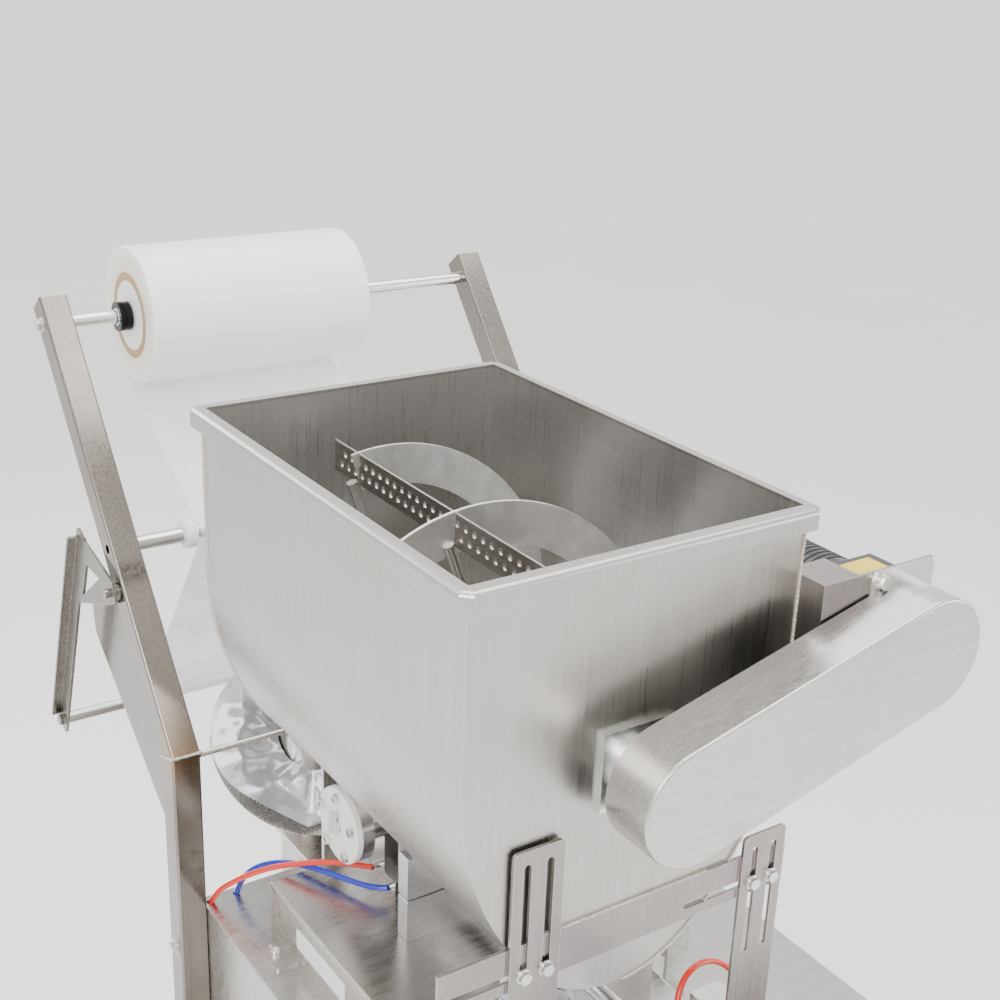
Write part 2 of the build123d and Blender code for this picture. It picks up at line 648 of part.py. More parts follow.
# ---- agitator ---------------------------------------------------------------------------
strip_x = -119.5
strip_top = 1461.0
strip_height = 30.0
strip_y = (-292.0, 68.0)
strip_sheet = 2.0
hole_pitch = 13.0
hole_radius = 3.0
pin_radius = 5.0
pin_positions = (26.0, -142.0)
pin_length = 117.0
pin_lean = 20.0
spoke_radius = 4.0
spoke_reach = 110.0
spokes = ((-26.1, 1), (-191.1, 1), (-108.6, -1), (-273.6, -1))
sprocket_y = (-412.0, -404.0)
sprocket_radius = 27.0
shaft_end = 104.0
with BuildPart() as agitator_shaft:
    rod((hopper_x, sprocket_y[0] - 6, shaft_z), (hopper_x, shaft_end, shaft_z), shaft_diameter / 2)
    rod((hopper_x, sprocket_y[0], shaft_z), (hopper_x, sprocket_y[1], shaft_z), sprocket_radius)
    rod((hopper_x, sprocket_y[1], shaft_z), (hopper_x, sprocket_y[1] + 14, shaft_z), 16)
    for pin_y in pin_positions:
        lean_plane = Plane(origin=(hopper_x, pin_y, shaft_z), z_dir=(-sin(radians(pin_lean)), 0,
                                                                    cos(radians(pin_lean))))
        with BuildSketch(lean_plane):
            Circle(pin_radius)
        extrude(amount=pin_length)
    for spoke_y, side in spokes:
        rod((hopper_x, spoke_y, shaft_z), (hopper_x + side * spoke_reach, spoke_y, shaft_z), spoke_radius)
agitator_shaft.part.label = "agitator_shaft"
export_step(agitator_shaft.part, "parts/agitator_shaft.step")

ribbon_sheet = 3.0
ribbon_turns = 1.9
ribbon_start_angle = 107.0
ribbon_start_y = 23.0
ribbon_length = ribbon_pitch * ribbon_turns
ribbon_centre = Vector(hopper_x, ribbon_start_y, shaft_z)
with BuildPart() as straight_ribbon:
    with BuildLine():
        helix = Helix(
            pitch=ribbon_pitch,
            height=ribbon_length,
            radius=ribbon_radius - ribbon_width / 2,
            center=ribbon_centre,
            direction=(0, -1, 0),
            lefthand=True,
        )
    with BuildSketch(Plane(origin=helix @ 0, x_dir=(helix @ 0) - ribbon_centre, z_dir=helix % 0)):
        Rectangle(ribbon_width, ribbon_sheet)
    sweep(is_frenet=True)
helix_arm = (helix @ 0) - ribbon_centre
made_angle = degrees(atan2(helix_arm.Z, helix_arm.X))
with BuildPart() as ribbon_flight:
    add(straight_ribbon.part.rotate(Axis(ribbon_centre, (0, 1, 0)), made_angle - ribbon_start_angle))
ribbon_flight.part.label = "ribbon_flight"
export_step(ribbon_flight.part, "parts/ribbon_flight.step")

with BuildPart() as scraper_strip:
    strip_plane = Plane(origin=(strip_x, 0, 0), x_dir=(0, 1, 0), z_dir=(1, 0, 0))
    strip_mid_y = (strip_y[0] + strip_y[1]) / 2
    hole_count = int((strip_y[1] - strip_y[0] - 16) / hole_pitch)
    with BuildSketch(strip_plane):
        with Locations((strip_mid_y, strip_top - strip_height / 2)):
            Rectangle(strip_y[1] - strip_y[0], strip_height)
        for row_z, row_shift in ((strip_top - 9, 0), (strip_top - 20, hole_pitch / 2)):
            with Locations((strip_mid_y + row_shift - hole_pitch / 4, row_z)):
                with GridLocations(hole_pitch, 1, hole_count, 1):
                    Circle(hole_radius, mode=Mode.SUBTRACT)
    extrude(amount=strip_sheet)
scraper_strip.part.label = "scraper_strip"
export_step(scraper_strip.part, "parts/scraper_strip.step")

bearing_radius = 28.0
with BuildPart() as shaft_bearings:
    rod((hopper_x, hopper_front - 22, shaft_z), (hopper_x, hopper_front, shaft_z), bearing_radius)
    rod((hopper_x, hopper_rear, shaft_z), (hopper_x, hopper_rear + 22, shaft_z), bearing_radius)
    for flange_y in (hopper_front - 5, hopper_rear):
        block((hopper_x - 34, hopper_x + 34), (flange_y, flange_y + 5), (shaft_z - 34, shaft_z + 34))
    rod((hopper_x, hopper_front - 23, shaft_z), (hopper_x, hopper_rear + 16, shaft_z),
        shaft_diameter / 2 + running_gap, Mode.SUBTRACT)
shaft_bearings.part.label = "shaft_bearings"
export_step(shaft_bearings.part, "parts/shaft_bearings.step")

# ---- agitator drive: bracket, gearmotor, sprocket, chain and guard ---------------------------
hopper_right = hopper_x + hopper_width / 2
bracket_front = -380.0
bracket_sheet = 2.5
bracket_top = 1446.0
motor_half = 40.0
motor_front = bracket_front + bracket_sheet
with BuildPart() as motor_bracket:
    block((hopper_right, 196), (bracket_front, bracket_front + bracket_sheet), (motor_z - 62, bracket_top))
    block((hopper_right, 112), (bracket_front, -340), (bracket_top - bracket_sheet, bracket_top))
    block((hopper_right, hopper_right + bracket_sheet), (bracket_front, -330), (motor_z - 62, bracket_top))
    fillet(motor_bracket.edges().filter_by(Axis.X).sort_by(Axis.Z)[-1], 1)
    rod((motor_x, bracket_front - 1, motor_z), (motor_x, bracket_front + 3, motor_z), 24, Mode.SUBTRACT)
motor_bracket.part.label = "motor_bracket"
export_step(motor_bracket.part, "parts/motor_bracket.step")

gearbox_length = 62.0
motor_length = 128.0
with BuildPart() as gearmotor:
    gearbox_back = motor_front + gearbox_length
    block((motor_x - motor_half, motor_x + motor_half), (motor_front, gearbox_back),
          (motor_z - motor_half, motor_z + motor_half))
    fillet(gearmotor.edges().filter_by(Axis.Y), 5)
    rod((motor_x, gearbox_back, motor_z), (motor_x, gearbox_back + motor_length, motor_z), motor_half - 1)
    rod((motor_x, motor_front - 1, motor_z), (motor_x, motor_front + 36, motor_z), 6 + running_gap,
        Mode.SUBTRACT)
gearmotor.part.label = "gearmotor"
export_step(gearmotor.part, "parts/gearmotor.step")

with BuildPart() as motor_sprocket:
    rod((motor_x, sprocket_y[0] - 6, motor_z), (motor_x, motor_front + 34, motor_z), 6)
    rod((motor_x, sprocket_y[0], motor_z), (motor_x, sprocket_y[1], motor_z), sprocket_radius)
    rod((motor_x, sprocket_y[1], motor_z), (motor_x, sprocket_y[1] + 14, motor_z), 14)
motor_sprocket.part.label = "motor_sprocket"
export_step(motor_sprocket.part, "parts/motor_sprocket.step")

drive_run = hypot(motor_x - hopper_x, motor_z - shaft_z)
drive_slope = degrees(atan2(motor_z - shaft_z, motor_x - hopper_x))
drive_middle = ((hopper_x + motor_x) / 2, (shaft_z + motor_z) / 2)
chain_radius = sprocket_radius + free_gap
chain_height = 7.0
with BuildPart() as drive_chain:
    with BuildSketch(Plane(origin=(0, sprocket_y[0] + 1, 0), x_dir=(1, 0, 0), z_dir=(0, -1, 0))):
        with Locations(Location((drive_middle[0], drive_middle[1], 0), (0, 0, drive_slope))):
            SlotCenterToCenter(drive_run, 2 * (chain_radius + chain_height))
            SlotCenterToCenter(drive_run, 2 * chain_radius, mode=Mode.SUBTRACT)
    extrude(amount=-6)
drive_chain.part.label = "drive_chain"
export_step(drive_chain.part, "parts/drive_chain.step")

guard_sheet = 1.5
tab_x = (123.5, 196.5)
tab_bolt_z = bracket_top - 9
with BuildPart() as drive_guard:
    guard_face = Plane(origin=(0, guard_front, 0), x_dir=(1, 0, 0), z_dir=(0, -1, 0))
    with BuildSketch(guard_face):
        with Locations(Location((drive_middle[0], drive_middle[1], 0), (0, 0, drive_slope))):
            SlotCenterToCenter(drive_run, 2 * guard_radius)
    extrude(amount=-(guard_rear - guard_front))
    fillet(drive_guard.faces().sort_by(Axis.Y)[0].edges(), 2.5)
    with BuildSketch(guard_face.offset(-guard_sheet)):
        with Locations(Location((drive_middle[0], drive_middle[1], 0), (0, 0, drive_slope))):
            SlotCenterToCenter(drive_run, 2 * (guard_radius - guard_sheet))
    extrude(amount=-(guard_rear - guard_front), mode=Mode.SUBTRACT)
    with BuildSketch(Plane(origin=(0, guard_rear, 0), x_dir=(1, 0, 0), z_dir=(0, -1, 0))):
        with Locations(((tab_x[0] + tab_x[1]) / 2, bracket_top - 36)):
            RectangleRounded(tab_x[1] - tab_x[0], 72, 7)
        with Locations((tab_x[0] + 12, tab_bolt_z)):
            SlotOverall(12, 7, rotation=90, mode=Mode.SUBTRACT)
    extrude(amount=-sheet)
    rod((motor_x, guard_rear - 1, motor_z), (motor_x, guard_rear + 3, motor_z), 28, Mode.SUBTRACT)
drive_guard.part.label = "drive_guard"
export_step(drive_guard.part, "parts/drive_guard.step")

# ---- reel stand ------------------------------------------------------------------------------
arm_run_y = axle_y - post_y
arm_run_z = axle_z - knee_z
arm_length = hypot(arm_run_y, arm_run_z)
arm_unit = (arm_run_y / arm_length, arm_run_z / arm_length)
arm_top = (axle_y + post_overrun * arm_unit[0], axle_z + post_overrun * arm_unit[1])
guide_radius = 8.0
journal_radius = 5.0
post_outer = half_cabinet + post_size
pivot_radius = 5.0
spacer_radius = 9.0
spacer_length = 3.0
lever_sheet = 3.0
lever_inner = post_outer + spacer_length + free_gap
gusset_x = half_cabinet + 12
gusset_low_z = 999.0
gusset_tip = (380.0, 1203.0)
with BuildPart() as reel_posts:
    for side in (-1, 1):
        with BuildLine() as post_line:
            Polyline((side * post_x, post_y, post_bottom_z), (side * post_x, post_y, knee_z),
                     (side * post_x, arm_top[0], arm_top[1]))
        with BuildSketch(Plane(origin=(side * post_x, post_y, post_bottom_z))):
            RectangleRounded(post_size, post_size, 2.5)
        sweep(path=post_line.line, transition=Transition.RIGHT)
        with BuildSketch(Plane(origin=(side * gusset_x, 0, 0), x_dir=(0, 1, 0), z_dir=(1, 0, 0))):
            with BuildLine():
                Polyline((post_y + post_size / 2, gusset_low_z), (post_y + 54, gusset_low_z + 28),
                         (gusset_tip[0] - 7, gusset_tip[1] - 39), gusset_tip,
                         (dancer_pivot_y + 11, dancer_pivot_z - 4), (post_y + post_size / 2, knee_z - 7), close=True)
            make_face()
        extrude(amount=side * sheet)
        rod((side * post_outer, dancer_pivot_y, dancer_pivot_z),
            (side * (post_outer + spacer_length), dancer_pivot_y, dancer_pivot_z), spacer_radius)
        rod((side * post_outer, dancer_pivot_y, dancer_pivot_z),
            (side * (lever_inner + lever_sheet + 6), dancer_pivot_y, dancer_pivot_z), pivot_radius)
        rod((side * (post_x - post_size), guide_y, guide_z), (side * (post_x + post_size), guide_y, guide_z),
            journal_radius + running_gap, Mode.SUBTRACT)
reel_posts.part.label = "reel_posts"
export_step(reel_posts.part, "parts/reel_posts.step")

collar_gap = 2.0
collar_radius = 16.0
core_half = roll_width / 2
with BuildPart() as reel_axle:
    rod((-half_cabinet, axle_y, axle_z), (half_cabinet, axle_y, axle_z), axle_diameter / 2)
    for side in (-1, 1):
        collar_ends = sorted((roll_x + side * (core_half + collar_gap), roll_x + side * (core_half + collar_gap + 13)))
        rod((collar_ends[0], axle_y, axle_z), (collar_ends[1], axle_y, axle_z), collar_radius)
reel_axle.part.label = "reel_axle"
export_step(reel_axle.part, "parts/reel_axle.step")

core_wall = 9.0
with BuildPart() as film_core:
    rod((roll_x - core_half, axle_y, axle_z), (roll_x + core_half, axle_y, axle_z), core_radius)
    rod((roll_x - core_half - 1, axle_y, axle_z), (roll_x + core_half + 1, axle_y, axle_z),
        core_radius - core_wall, Mode.SUBTRACT)
film_core.part.label = "film_core"
export_step(film_core.part, "parts/film_core.step")

with BuildPart() as film_roll:
    rod((roll_x - roll_width / 2, axle_y, axle_z), (roll_x + roll_width / 2, axle_y, axle_z), roll_radius)
    fillet(film_roll.edges().filter_by(GeomType.CIRCLE), 1.5)
    rod((roll_x - roll_width, axle_y, axle_z), (roll_x + roll_width, axle_y, axle_z), core_radius, Mode.SUBTRACT)
film_roll.part.label = "film_roll"
export_step(film_roll.part, "parts/film_roll.step")

plug_depth = 24.0
with BuildPart() as core_plugs:
    for side in (-1, 1):
        plug_ends = sorted((roll_x + side * (core_half - plug_depth), roll_x + side * core_half))
        rod((plug_ends[0], axle_y, axle_z), (plug_ends[1], axle_y, axle_z), core_radius - core_wall)
    rod((roll_x - core_half - 5, axle_y, axle_z), (roll_x + core_half + 5, axle_y, axle_z),
        axle_diameter / 2 + running_gap, Mode.SUBTRACT)
core_plugs.part.label = "core_plugs"
export_step(core_plugs.part, "parts/core_plugs.step")

with BuildPart() as guide_roller:
    rod((-half_cabinet + 1, guide_y, guide_z), (half_cabinet - 1, guide_y, guide_z), guide_radius)
    rod((-half_cabinet - 22, guide_y, guide_z), (half_cabinet + 22, guide_y, guide_z), journal_radius)
guide_roller.part.label = "guide_roller"
export_step(guide_roller.part, "parts/guide_roller.step")

with BuildPart() as roller_collars:
    for collar_x in (roll_x - roll_width / 2 - 8, roll_x + roll_width / 2 + 8):
        rod((collar_x - 6, guide_y, guide_z), (collar_x + 6, guide_y, guide_z), 15)
    fillet(roller_collars.edges().filter_by(GeomType.CIRCLE), 1)
    rod((roll_x - roll_width, guide_y, guide_z), (roll_x + roll_width, guide_y, guide_z), guide_radius,
        Mode.SUBTRACT)
roller_collars.part.label = "roller_collars"
export_step(roller_collars.part, "parts/roller_collars.step")

# ---- dancer: a pivoted plate and angle lever each side, and the bar ---------------------------------
lever_run_y = dancer_y - lever_top_y
lever_run_z = dancer_z - lever_top_z
lever_length = hypot(lever_run_y, lever_run_z)
lever_slope = degrees(atan2(lever_run_z, lever_run_y))
lever_middle = ((dancer_y + lever_top_y) / 2, (dancer_z + lever_top_z) / 2)
lever_unit = (lever_run_y / lever_length, lever_run_z / lever_length)
plate_reach = 90.0
lever_width = 24.0
with BuildPart() as dancer_levers:
    for side in (-1, 1):
        with BuildSketch(Plane(origin=(side * lever_inner, 0, 0), x_dir=(0, 1, 0), z_dir=(1, 0, 0))):
            with Locations(Location((lever_middle[0], lever_middle[1], 0), (0, 0, lever_slope))):
                RectangleRounded(lever_length + 26, lever_width, 4)
            with BuildLine():
                Polyline((dancer_pivot_y - 14, dancer_pivot_z - 6), (dancer_pivot_y - 6, dancer_pivot_z + 14),
                         (lever_top_y, lever_top_z + 10),
                         (lever_top_y + plate_reach * lever_unit[0], lever_top_z + plate_reach * lever_unit[1]),
                         (dancer_pivot_y + 2, dancer_pivot_z - 15), close=True)
            make_face()
            with BuildLine(mode=Mode.PRIVATE) as window:
                Polyline((dancer_pivot_y + 32, dancer_pivot_z + 3), (lever_top_y - 16, lever_top_z - 19),
                         (lever_top_y + 2, lever_top_z - 62), close=True)
            make_face(window.edges(), mode=Mode.SUBTRACT)
            with Locations((dancer_pivot_y, dancer_pivot_z)):
                Circle(pivot_radius + running_gap, mode=Mode.SUBTRACT)
        extrude(amount=side * lever_sheet)
        lip_shift = 0.5 * (lever_width - lever_sheet)
        lip_offset = (-lip_shift * sin(radians(lever_slope)), lip_shift * cos(radians(lever_slope)))
        with BuildSketch(Plane(origin=(side * (lever_inner + lever_sheet), 0, 0), x_dir=(0, 1, 0),
                               z_dir=(1, 0, 0))):
            with Locations(Location((lever_middle[0] + lip_offset[0], lever_middle[1] + lip_offset[1], 0),
                                    (0, 0, lever_slope))):
                Rectangle(lever_length, lever_sheet)
        extrude(amount=side * 10)
        hex_bolt((side * (lever_inner + lever_sheet), dancer_y, dancer_z), (side, 0, 0), 13, 5)
    rod((-lever_inner - 1, dancer_y, dancer_z), (lever_inner + 1, dancer_y, dancer_z), 4)
dancer_levers.part.label = "dancer_levers"
export_step(dancer_levers.part, "parts/dancer_levers.step")

dancer_radius = 7.0
with BuildPart() as dancer_roller:
    rod((-lever_inner + 1, dancer_y, dancer_z), (lever_inner - 1, dancer_y, dancer_z), dancer_radius)
    rod((-lever_inner, dancer_y, dancer_z), (lever_inner, dancer_y, dancer_z), 4 + running_gap, Mode.SUBTRACT)
dancer_roller.part.label = "dancer_roller"
export_step(dancer_roller.part, "parts/dancer_roller.step")

# ---- bag former: collar and tube --------------------------------------------------------------------
neck_radius = 39.5
neck_bore = 37.5
neck_bottom = 905.0
wing_z = 1022.0
wing_tilt = 38.0
wing_radius = 116.0
wing_drop = 8.0
wing_sheet = 2.0
wing_front = tube_y - 84
collar_plate_z = 912.0
wing_normal = (0, -sin(radians(wing_tilt)), cos(radians(wing_tilt)))
wing_plane = Plane(origin=(tube_x, tube_y, wing_z), x_dir=(1, 0, 0), z_dir=wing_normal)
with BuildPart() as forming_collar:
    rod((tube_x, tube_y, neck_bottom), (tube_x, tube_y, wing_z + 60), neck_radius)
    split(bisect_by=wing_plane, keep=Keep.BOTTOM)
    with BuildSketch(Plane(origin=wing_plane.origin, x_dir=(1, 0, 0), z_dir=wing_plane.y_dir)) as wing_profile:
        with BuildLine():
            Polyline((20, 0), (wing_radius, wing_drop), (wing_radius, wing_drop + wing_sheet),
                     (20, wing_sheet), close=True)
        make_face()
    revolve(wing_profile.sketch, axis=Axis(wing_plane.origin, wing_plane.z_dir))
    cut_block((-400, 400), (wing_front - 200, wing_front), (800, 1200))
    block((tube_x - 46, tube_x + 46), (cabinet_rear, tube_y + 20), (collar_plate_z, collar_plate_z + 6))
    block((tube_x - 46, tube_x + 46), (cabinet_rear, cabinet_rear + 4), (collar_plate_z - 30, collar_plate_z))
    rod((tube_x, tube_y, neck_bottom - 1), (tube_x, tube_y, wing_z + 120), neck_bore, Mode.SUBTRACT)
forming_collar.part.label = "forming_collar"
export_step(forming_collar.part, "parts/forming_collar.step")

tube_wall = 1.5
arm_x = (-112.0, -86.0)
arm_y = (112.0, 117.0)
stay_radius = 3.0
stay_y = 120.0
stay_z = 1133.0
with BuildPart() as forming_tube:
    rod((tube_x, tube_y, tube_bottom_z), (tube_x, tube_y, tube_top_z), tube_radius)
    rod((tube_x, tube_y, tube_top_z - 4), (tube_x, tube_y, tube_top_z), 50)
    block(arm_x, (arm_y[0], tube_y), (tube_top_z, tube_top_z + 5))
    block(arm_x, arm_y, (deck_z, stay_z + stay_radius))
    block(arm_x, (arm_y[0] - 24, arm_y[0]), (deck_z, deck_z + 4))
    rod((-half_cabinet, stay_y, stay_z), (arm_x[1], stay_y, stay_z), stay_radius)
    rod((tube_x, tube_y, tube_bottom_z - 1), (tube_x, tube_y, tube_top_z + 9), tube_radius - tube_wall,
        Mode.SUBTRACT)
forming_tube.part.label = "forming_tube"
export_step(forming_tube.part, "parts/forming_tube.step")

# ---- film web from the roll, over the guide roller, round the dancer and up to the collar -----------------
film_sheet = 0.5
film_gap = 0.7


def tangent_points(centre_a, reach_a, centre_b, reach_b):
    """Ends of the straight run from circle a to circle b; a positive reach has its centre on the left."""
    run_y = centre_b[0] - centre_a[0]
    run_z = centre_b[1] - centre_a[1]
    heading = atan2(run_z, run_y)
    lean = (reach_a - reach_b) / hypot(run_y, run_z)
    normal = heading + radians(90) + atan2(lean, (1 - lean**2) ** 0.5)
    ends = []
    for centre, reach in ((centre_a, reach_a), (centre_b, reach_b)):
        ends.append((centre[0] - reach * cos(normal), centre[1] - reach * sin(normal)))
    return ends


def wrap_point(centre, radius, start, end):
    """Middle of the film's wrap round a roller, on the shorter way from start to end."""
    middle_y = (start[0] + end[0]) / 2 - centre[0]
    middle_z = (start[1] + end[1]) / 2 - centre[1]
    reach = hypot(middle_y, middle_z)
    return (centre[0] + middle_y * radius / reach, centre[1] + middle_z * radius / reach)


roll_centre = (axle_y, axle_z)
guide_centre = (guide_y, guide_z)
dancer_centre = (dancer_y, dancer_z)
guide_wrap = guide_radius + film_gap
dancer_wrap = dancer_radius + film_gap
crown_point = (tube_y + wing_radius * cos(radians(wing_tilt)), wing_z + wing_radius * sin(radians(wing_tilt)) + 12)
web_off_roll = tangent_points(roll_centre, -(roll_radius + film_gap), guide_centre, guide_wrap)
web_off_guide = tangent_points(guide_centre, guide_wrap, dancer_centre, -dancer_wrap)
web_off_dancer = tangent_points(dancer_centre, -dancer_wrap, crown_point, 0.0)
web_plane = Plane(origin=(roll_x - roll_width / 2, 0, 0), x_dir=(0, 1, 0), z_dir=(1, 0, 0))
print("web", web_off_roll, web_off_guide, web_off_dancer)

with BuildPart() as film_web_upper:
    with BuildSketch(web_plane):
        with BuildLine():
            Line(web_off_roll[0], web_off_roll[1])
        trace(line_width=film_sheet)
    extrude(amount=roll_width)
film_web_upper.part.label = "film_web_upper"
export_step(film_web_upper.part, "parts/film_web_upper.step")

with BuildPart() as film_web_lower:
    with BuildSketch(web_plane):
        with BuildLine():
            ThreePointArc(web_off_roll[1], wrap_point(guide_centre, guide_wrap, web_off_roll[1], web_off_guide[0]),
                          web_off_guide[0])
            Line(web_off_guide[0], web_off_guide[1])
            ThreePointArc(web_off_guide[1],
                          wrap_point(dancer_centre, dancer_wrap, web_off_guide[1], web_off_dancer[0]),
                          web_off_dancer[0])
            Line(web_off_dancer[0], web_off_dancer[1])
        trace(line_width=film_sheet)
    extrude(amount=roll_width)
film_web_lower.part.label = "film_web_lower"
export_step(film_web_lower.part, "parts/film_web_lower.step")

# ---- sealing station on the mechanism plate ------------------------------------------------------------------
seal_rod_x = 18.0
jaw_rod_x = 110.0
jaw_rod_radius = 8.0
pull_shaft_radius = 6.0
pull_radius = 28.0
pull_x = (tube_x - tube_radius - pull_radius - 1.5, tube_x + tube_radius + pull_radius + 1.5)
jaw_rod_end = 352.0
with BuildPart() as seal_frame:
    block((tube_x - 32, tube_x + 32), (cabinet_rear, cabinet_rear + 42), (sealer_z - 60, sealer_z + 60))
    fillet(seal_frame.edges().filter_by(Axis.Y), 5)
    for shaft_x in pull_x:
        block((shaft_x - 24, shaft_x + 24), (cabinet_rear, cabinet_rear + 10), (pull_z - 24, pull_z + 24))
        rod((shaft_x, cabinet_rear + 10, pull_z), (shaft_x, 236, pull_z), 14)
    for side in (-1, 1):
        rod_x = tube_x + side * jaw_rod_x
        block((rod_x - 20, rod_x + 20), (cabinet_rear, cabinet_rear + 20), (jaw_z - 25, jaw_z + 25))
        rod((rod_x, cabinet_rear + 20, jaw_z), (rod_x, jaw_rod_end, jaw_z), jaw_rod_radius)
    block((tube_x - jaw_rod_x - 20, tube_x + jaw_rod_x + 20), (jaw_rod_end, jaw_rod_end + 8),
          (jaw_z - 18, jaw_z + 18))
    block((tube_x - 30, tube_x + 30), (cabinet_rear, cabinet_rear + 52), (jaw_z - 30, jaw_z + 30))
    for bore_z in (sealer_z - 35, sealer_z + 35):
        rod((tube_x, cabinet_rear + 2, bore_z), (tube_x, cabinet_rear + 43, bore_z), 6 + running_gap,
            Mode.SUBTRACT)
    for shaft_x in pull_x:
        rod((shaft_x, cabinet_rear + 4, pull_z), (shaft_x, 237, pull_z), pull_shaft_radius + running_gap,
            Mode.SUBTRACT)
    rod((tube_x, cabinet_rear + 2, jaw_z), (tube_x, cabinet_rear + 57, jaw_z), 7 + running_gap, Mode.SUBTRACT)
seal_frame.part.label = "seal_frame"
export_step(seal_frame.part, "parts/seal_frame.step")

seal_stroke = 3.0
seal_face_y = tube_y - tube_radius - seal_stroke - 0.6
with BuildPart() as vertical_seal_bar:
    block((tube_x - 6, tube_x + 6), (seal_face_y - 12, seal_face_y), (sealer_z - 90, sealer_z + 90))
    block((tube_x - 14, tube_x + 14), (seal_face_y - 26, seal_face_y - 12), (sealer_z - 90, sealer_z + 90))
    for bore_z in (sealer_z - 35, sealer_z + 35):
        rod((tube_x, cabinet_rear + 8, bore_z), (tube_x, seal_face_y - 26, bore_z), 6)
vertical_seal_bar.part.label = "vertical_seal_bar"
export_step(vertical_seal_bar.part, "parts/vertical_seal_bar.step")

pull_half = 14.0
with BuildPart() as pull_roller_left:
    rod((pull_x[0], cabinet_rear + 10, pull_z), (pull_x[0], tube_y + 22, pull_z), pull_shaft_radius)
    rod((pull_x[0], tube_y - pull_half, pull_z), (pull_x[0], tube_y + pull_half, pull_z), pull_radius)
    chamfer(pull_roller_left.edges().filter_by(GeomType.CIRCLE).group_by(SortBy.RADIUS)[-1], 1.5)
pull_roller_left.part.label = "pull_roller_left"
export_step(pull_roller_left.part, "parts/pull_roller_left.step")

with BuildPart() as pull_roller_right:
    rod((pull_x[1], cabinet_rear + 10, pull_z), (pull_x[1], tube_y + 22, pull_z), pull_shaft_radius)
    rod((pull_x[1], tube_y - pull_half, pull_z), (pull_x[1], tube_y + pull_half, pull_z), pull_radius)
    chamfer(pull_roller_right.edges().filter_by(GeomType.CIRCLE).group_by(SortBy.RADIUS)[-1], 1.5)
pull_roller_right.part.label = "pull_roller_right"
export_step(pull_roller_right.part, "parts/pull_roller_right.step")

jaw_half_length = 128.0
jaw_half_height = 24.0
jaw_stroke = 19.0
jaw_opening = 20.0
jaw_depth = 30.0
knife_half = 78.0
with BuildPart() as rear_jaw:
    block((tube_x - jaw_half_length, tube_x + jaw_half_length),
          (tube_y - jaw_opening - jaw_depth, tube_y - jaw_opening - 6), (jaw_z - jaw_half_height, jaw_z + jaw_half_height))
    block((tube_x - 88, tube_x + 88), (tube_y - jaw_opening - 6, tube_y - jaw_opening), (jaw_z - 16, jaw_z + 16))
    rod((tube_x, cabinet_rear + 10, jaw_z), (tube_x, tube_y - jaw_opening - jaw_depth - 14, jaw_z), 7)
    block((tube_x - 16, tube_x + 16), (tube_y - jaw_opening - jaw_depth - 22, tube_y - jaw_opening - jaw_depth - 14),
          (jaw_z - 20, jaw_z + 20))
    for side in (-1, 1):
        block(sorted((tube_x + side * 10, tube_x + side * 16)),
              (tube_y - jaw_opening - jaw_depth - 14, tube_y - jaw_opening - jaw_depth), (jaw_z + 10, jaw_z + 20))
    for side in (-1, 1):
        rod_x = tube_x + side * jaw_rod_x
        rod((rod_x, tube_y - 100, jaw_z), (rod_x, tube_y, jaw_z), jaw_rod_radius + running_gap, Mode.SUBTRACT)
    cut_block((tube_x - knife_half - 1, tube_x + knife_half + 1), (tube_y - jaw_opening - jaw_depth - 1, tube_y),
              (jaw_z - 2, jaw_z + 2))
rear_jaw.part.label = "rear_jaw"
export_step(rear_jaw.part, "parts/rear_jaw.step")

with BuildPart() as front_jaw:
    block((tube_x - jaw_half_length, tube_x + jaw_half_length),
          (tube_y + jaw_opening + 6, tube_y + jaw_opening + jaw_depth), (jaw_z - jaw_half_height, jaw_z + jaw_half_height))
    block((tube_x - 88, tube_x + 88), (tube_y + jaw_opening, tube_y + jaw_opening + 6), (jaw_z - 16, jaw_z + 16))
    for side in (-1, 1):
        rod_x = tube_x + side * jaw_rod_x
        rod((rod_x, tube_y, jaw_z), (rod_x, tube_y + 100, jaw_z), jaw_rod_radius + running_gap, Mode.SUBTRACT)
    cut_block((tube_x - knife_half - 1, tube_x + knife_half + 1), (tube_y + jaw_opening - 1, tube_y + jaw_opening + 16),
              (jaw_z - 2, jaw_z + 2))
front_jaw.part.label = "front_jaw"
export_step(front_jaw.part, "parts/front_jaw.step")

with BuildPart() as knife:
    block((tube_x - knife_half, tube_x + knife_half), (tube_y - jaw_opening - 28, tube_y - jaw_opening - 2),
          (jaw_z - 1, jaw_z + 1))
knife.part.label = "knife"
export_step(knife.part, "parts/knife.step")

chute_half = 92.0
chute_start = cabinet_rear + 2
chute_end = 400.0
with BuildPart() as discharge_chute:
    with BuildSketch(Plane(origin=(tube_x - chute_half, 0, 0), x_dir=(0, 1, 0), z_dir=(1, 0, 0))):
        with BuildLine():
            Polyline((chute_start, 380), (chute_start + 60, 330), (chute_end, 190))
        trace(line_width=sheet)
    extrude(amount=2 * chute_half)
    for side in (-1, 1):
        wall_x = tube_x + side * chute_half
        with BuildSketch(Plane(origin=(wall_x, 0, 0), x_dir=(0, 1, 0), z_dir=(1, 0, 0))):
            with BuildLine():
                Polyline((chute_start, 380), (chute_start + 60, 330), (chute_end, 190), (chute_end, 215),
                         (chute_start + 60, 390), (chute_start, 420), close=True)
            make_face()
        extrude(amount=side * sheet)
    block((tube_x - chute_half - sheet, tube_x + chute_half + sheet), (cabinet_rear, chute_start), (360, 420))
discharge_chute.part.label = "discharge_chute"
export_step(discharge_chute.part, "parts/discharge_chute.step")

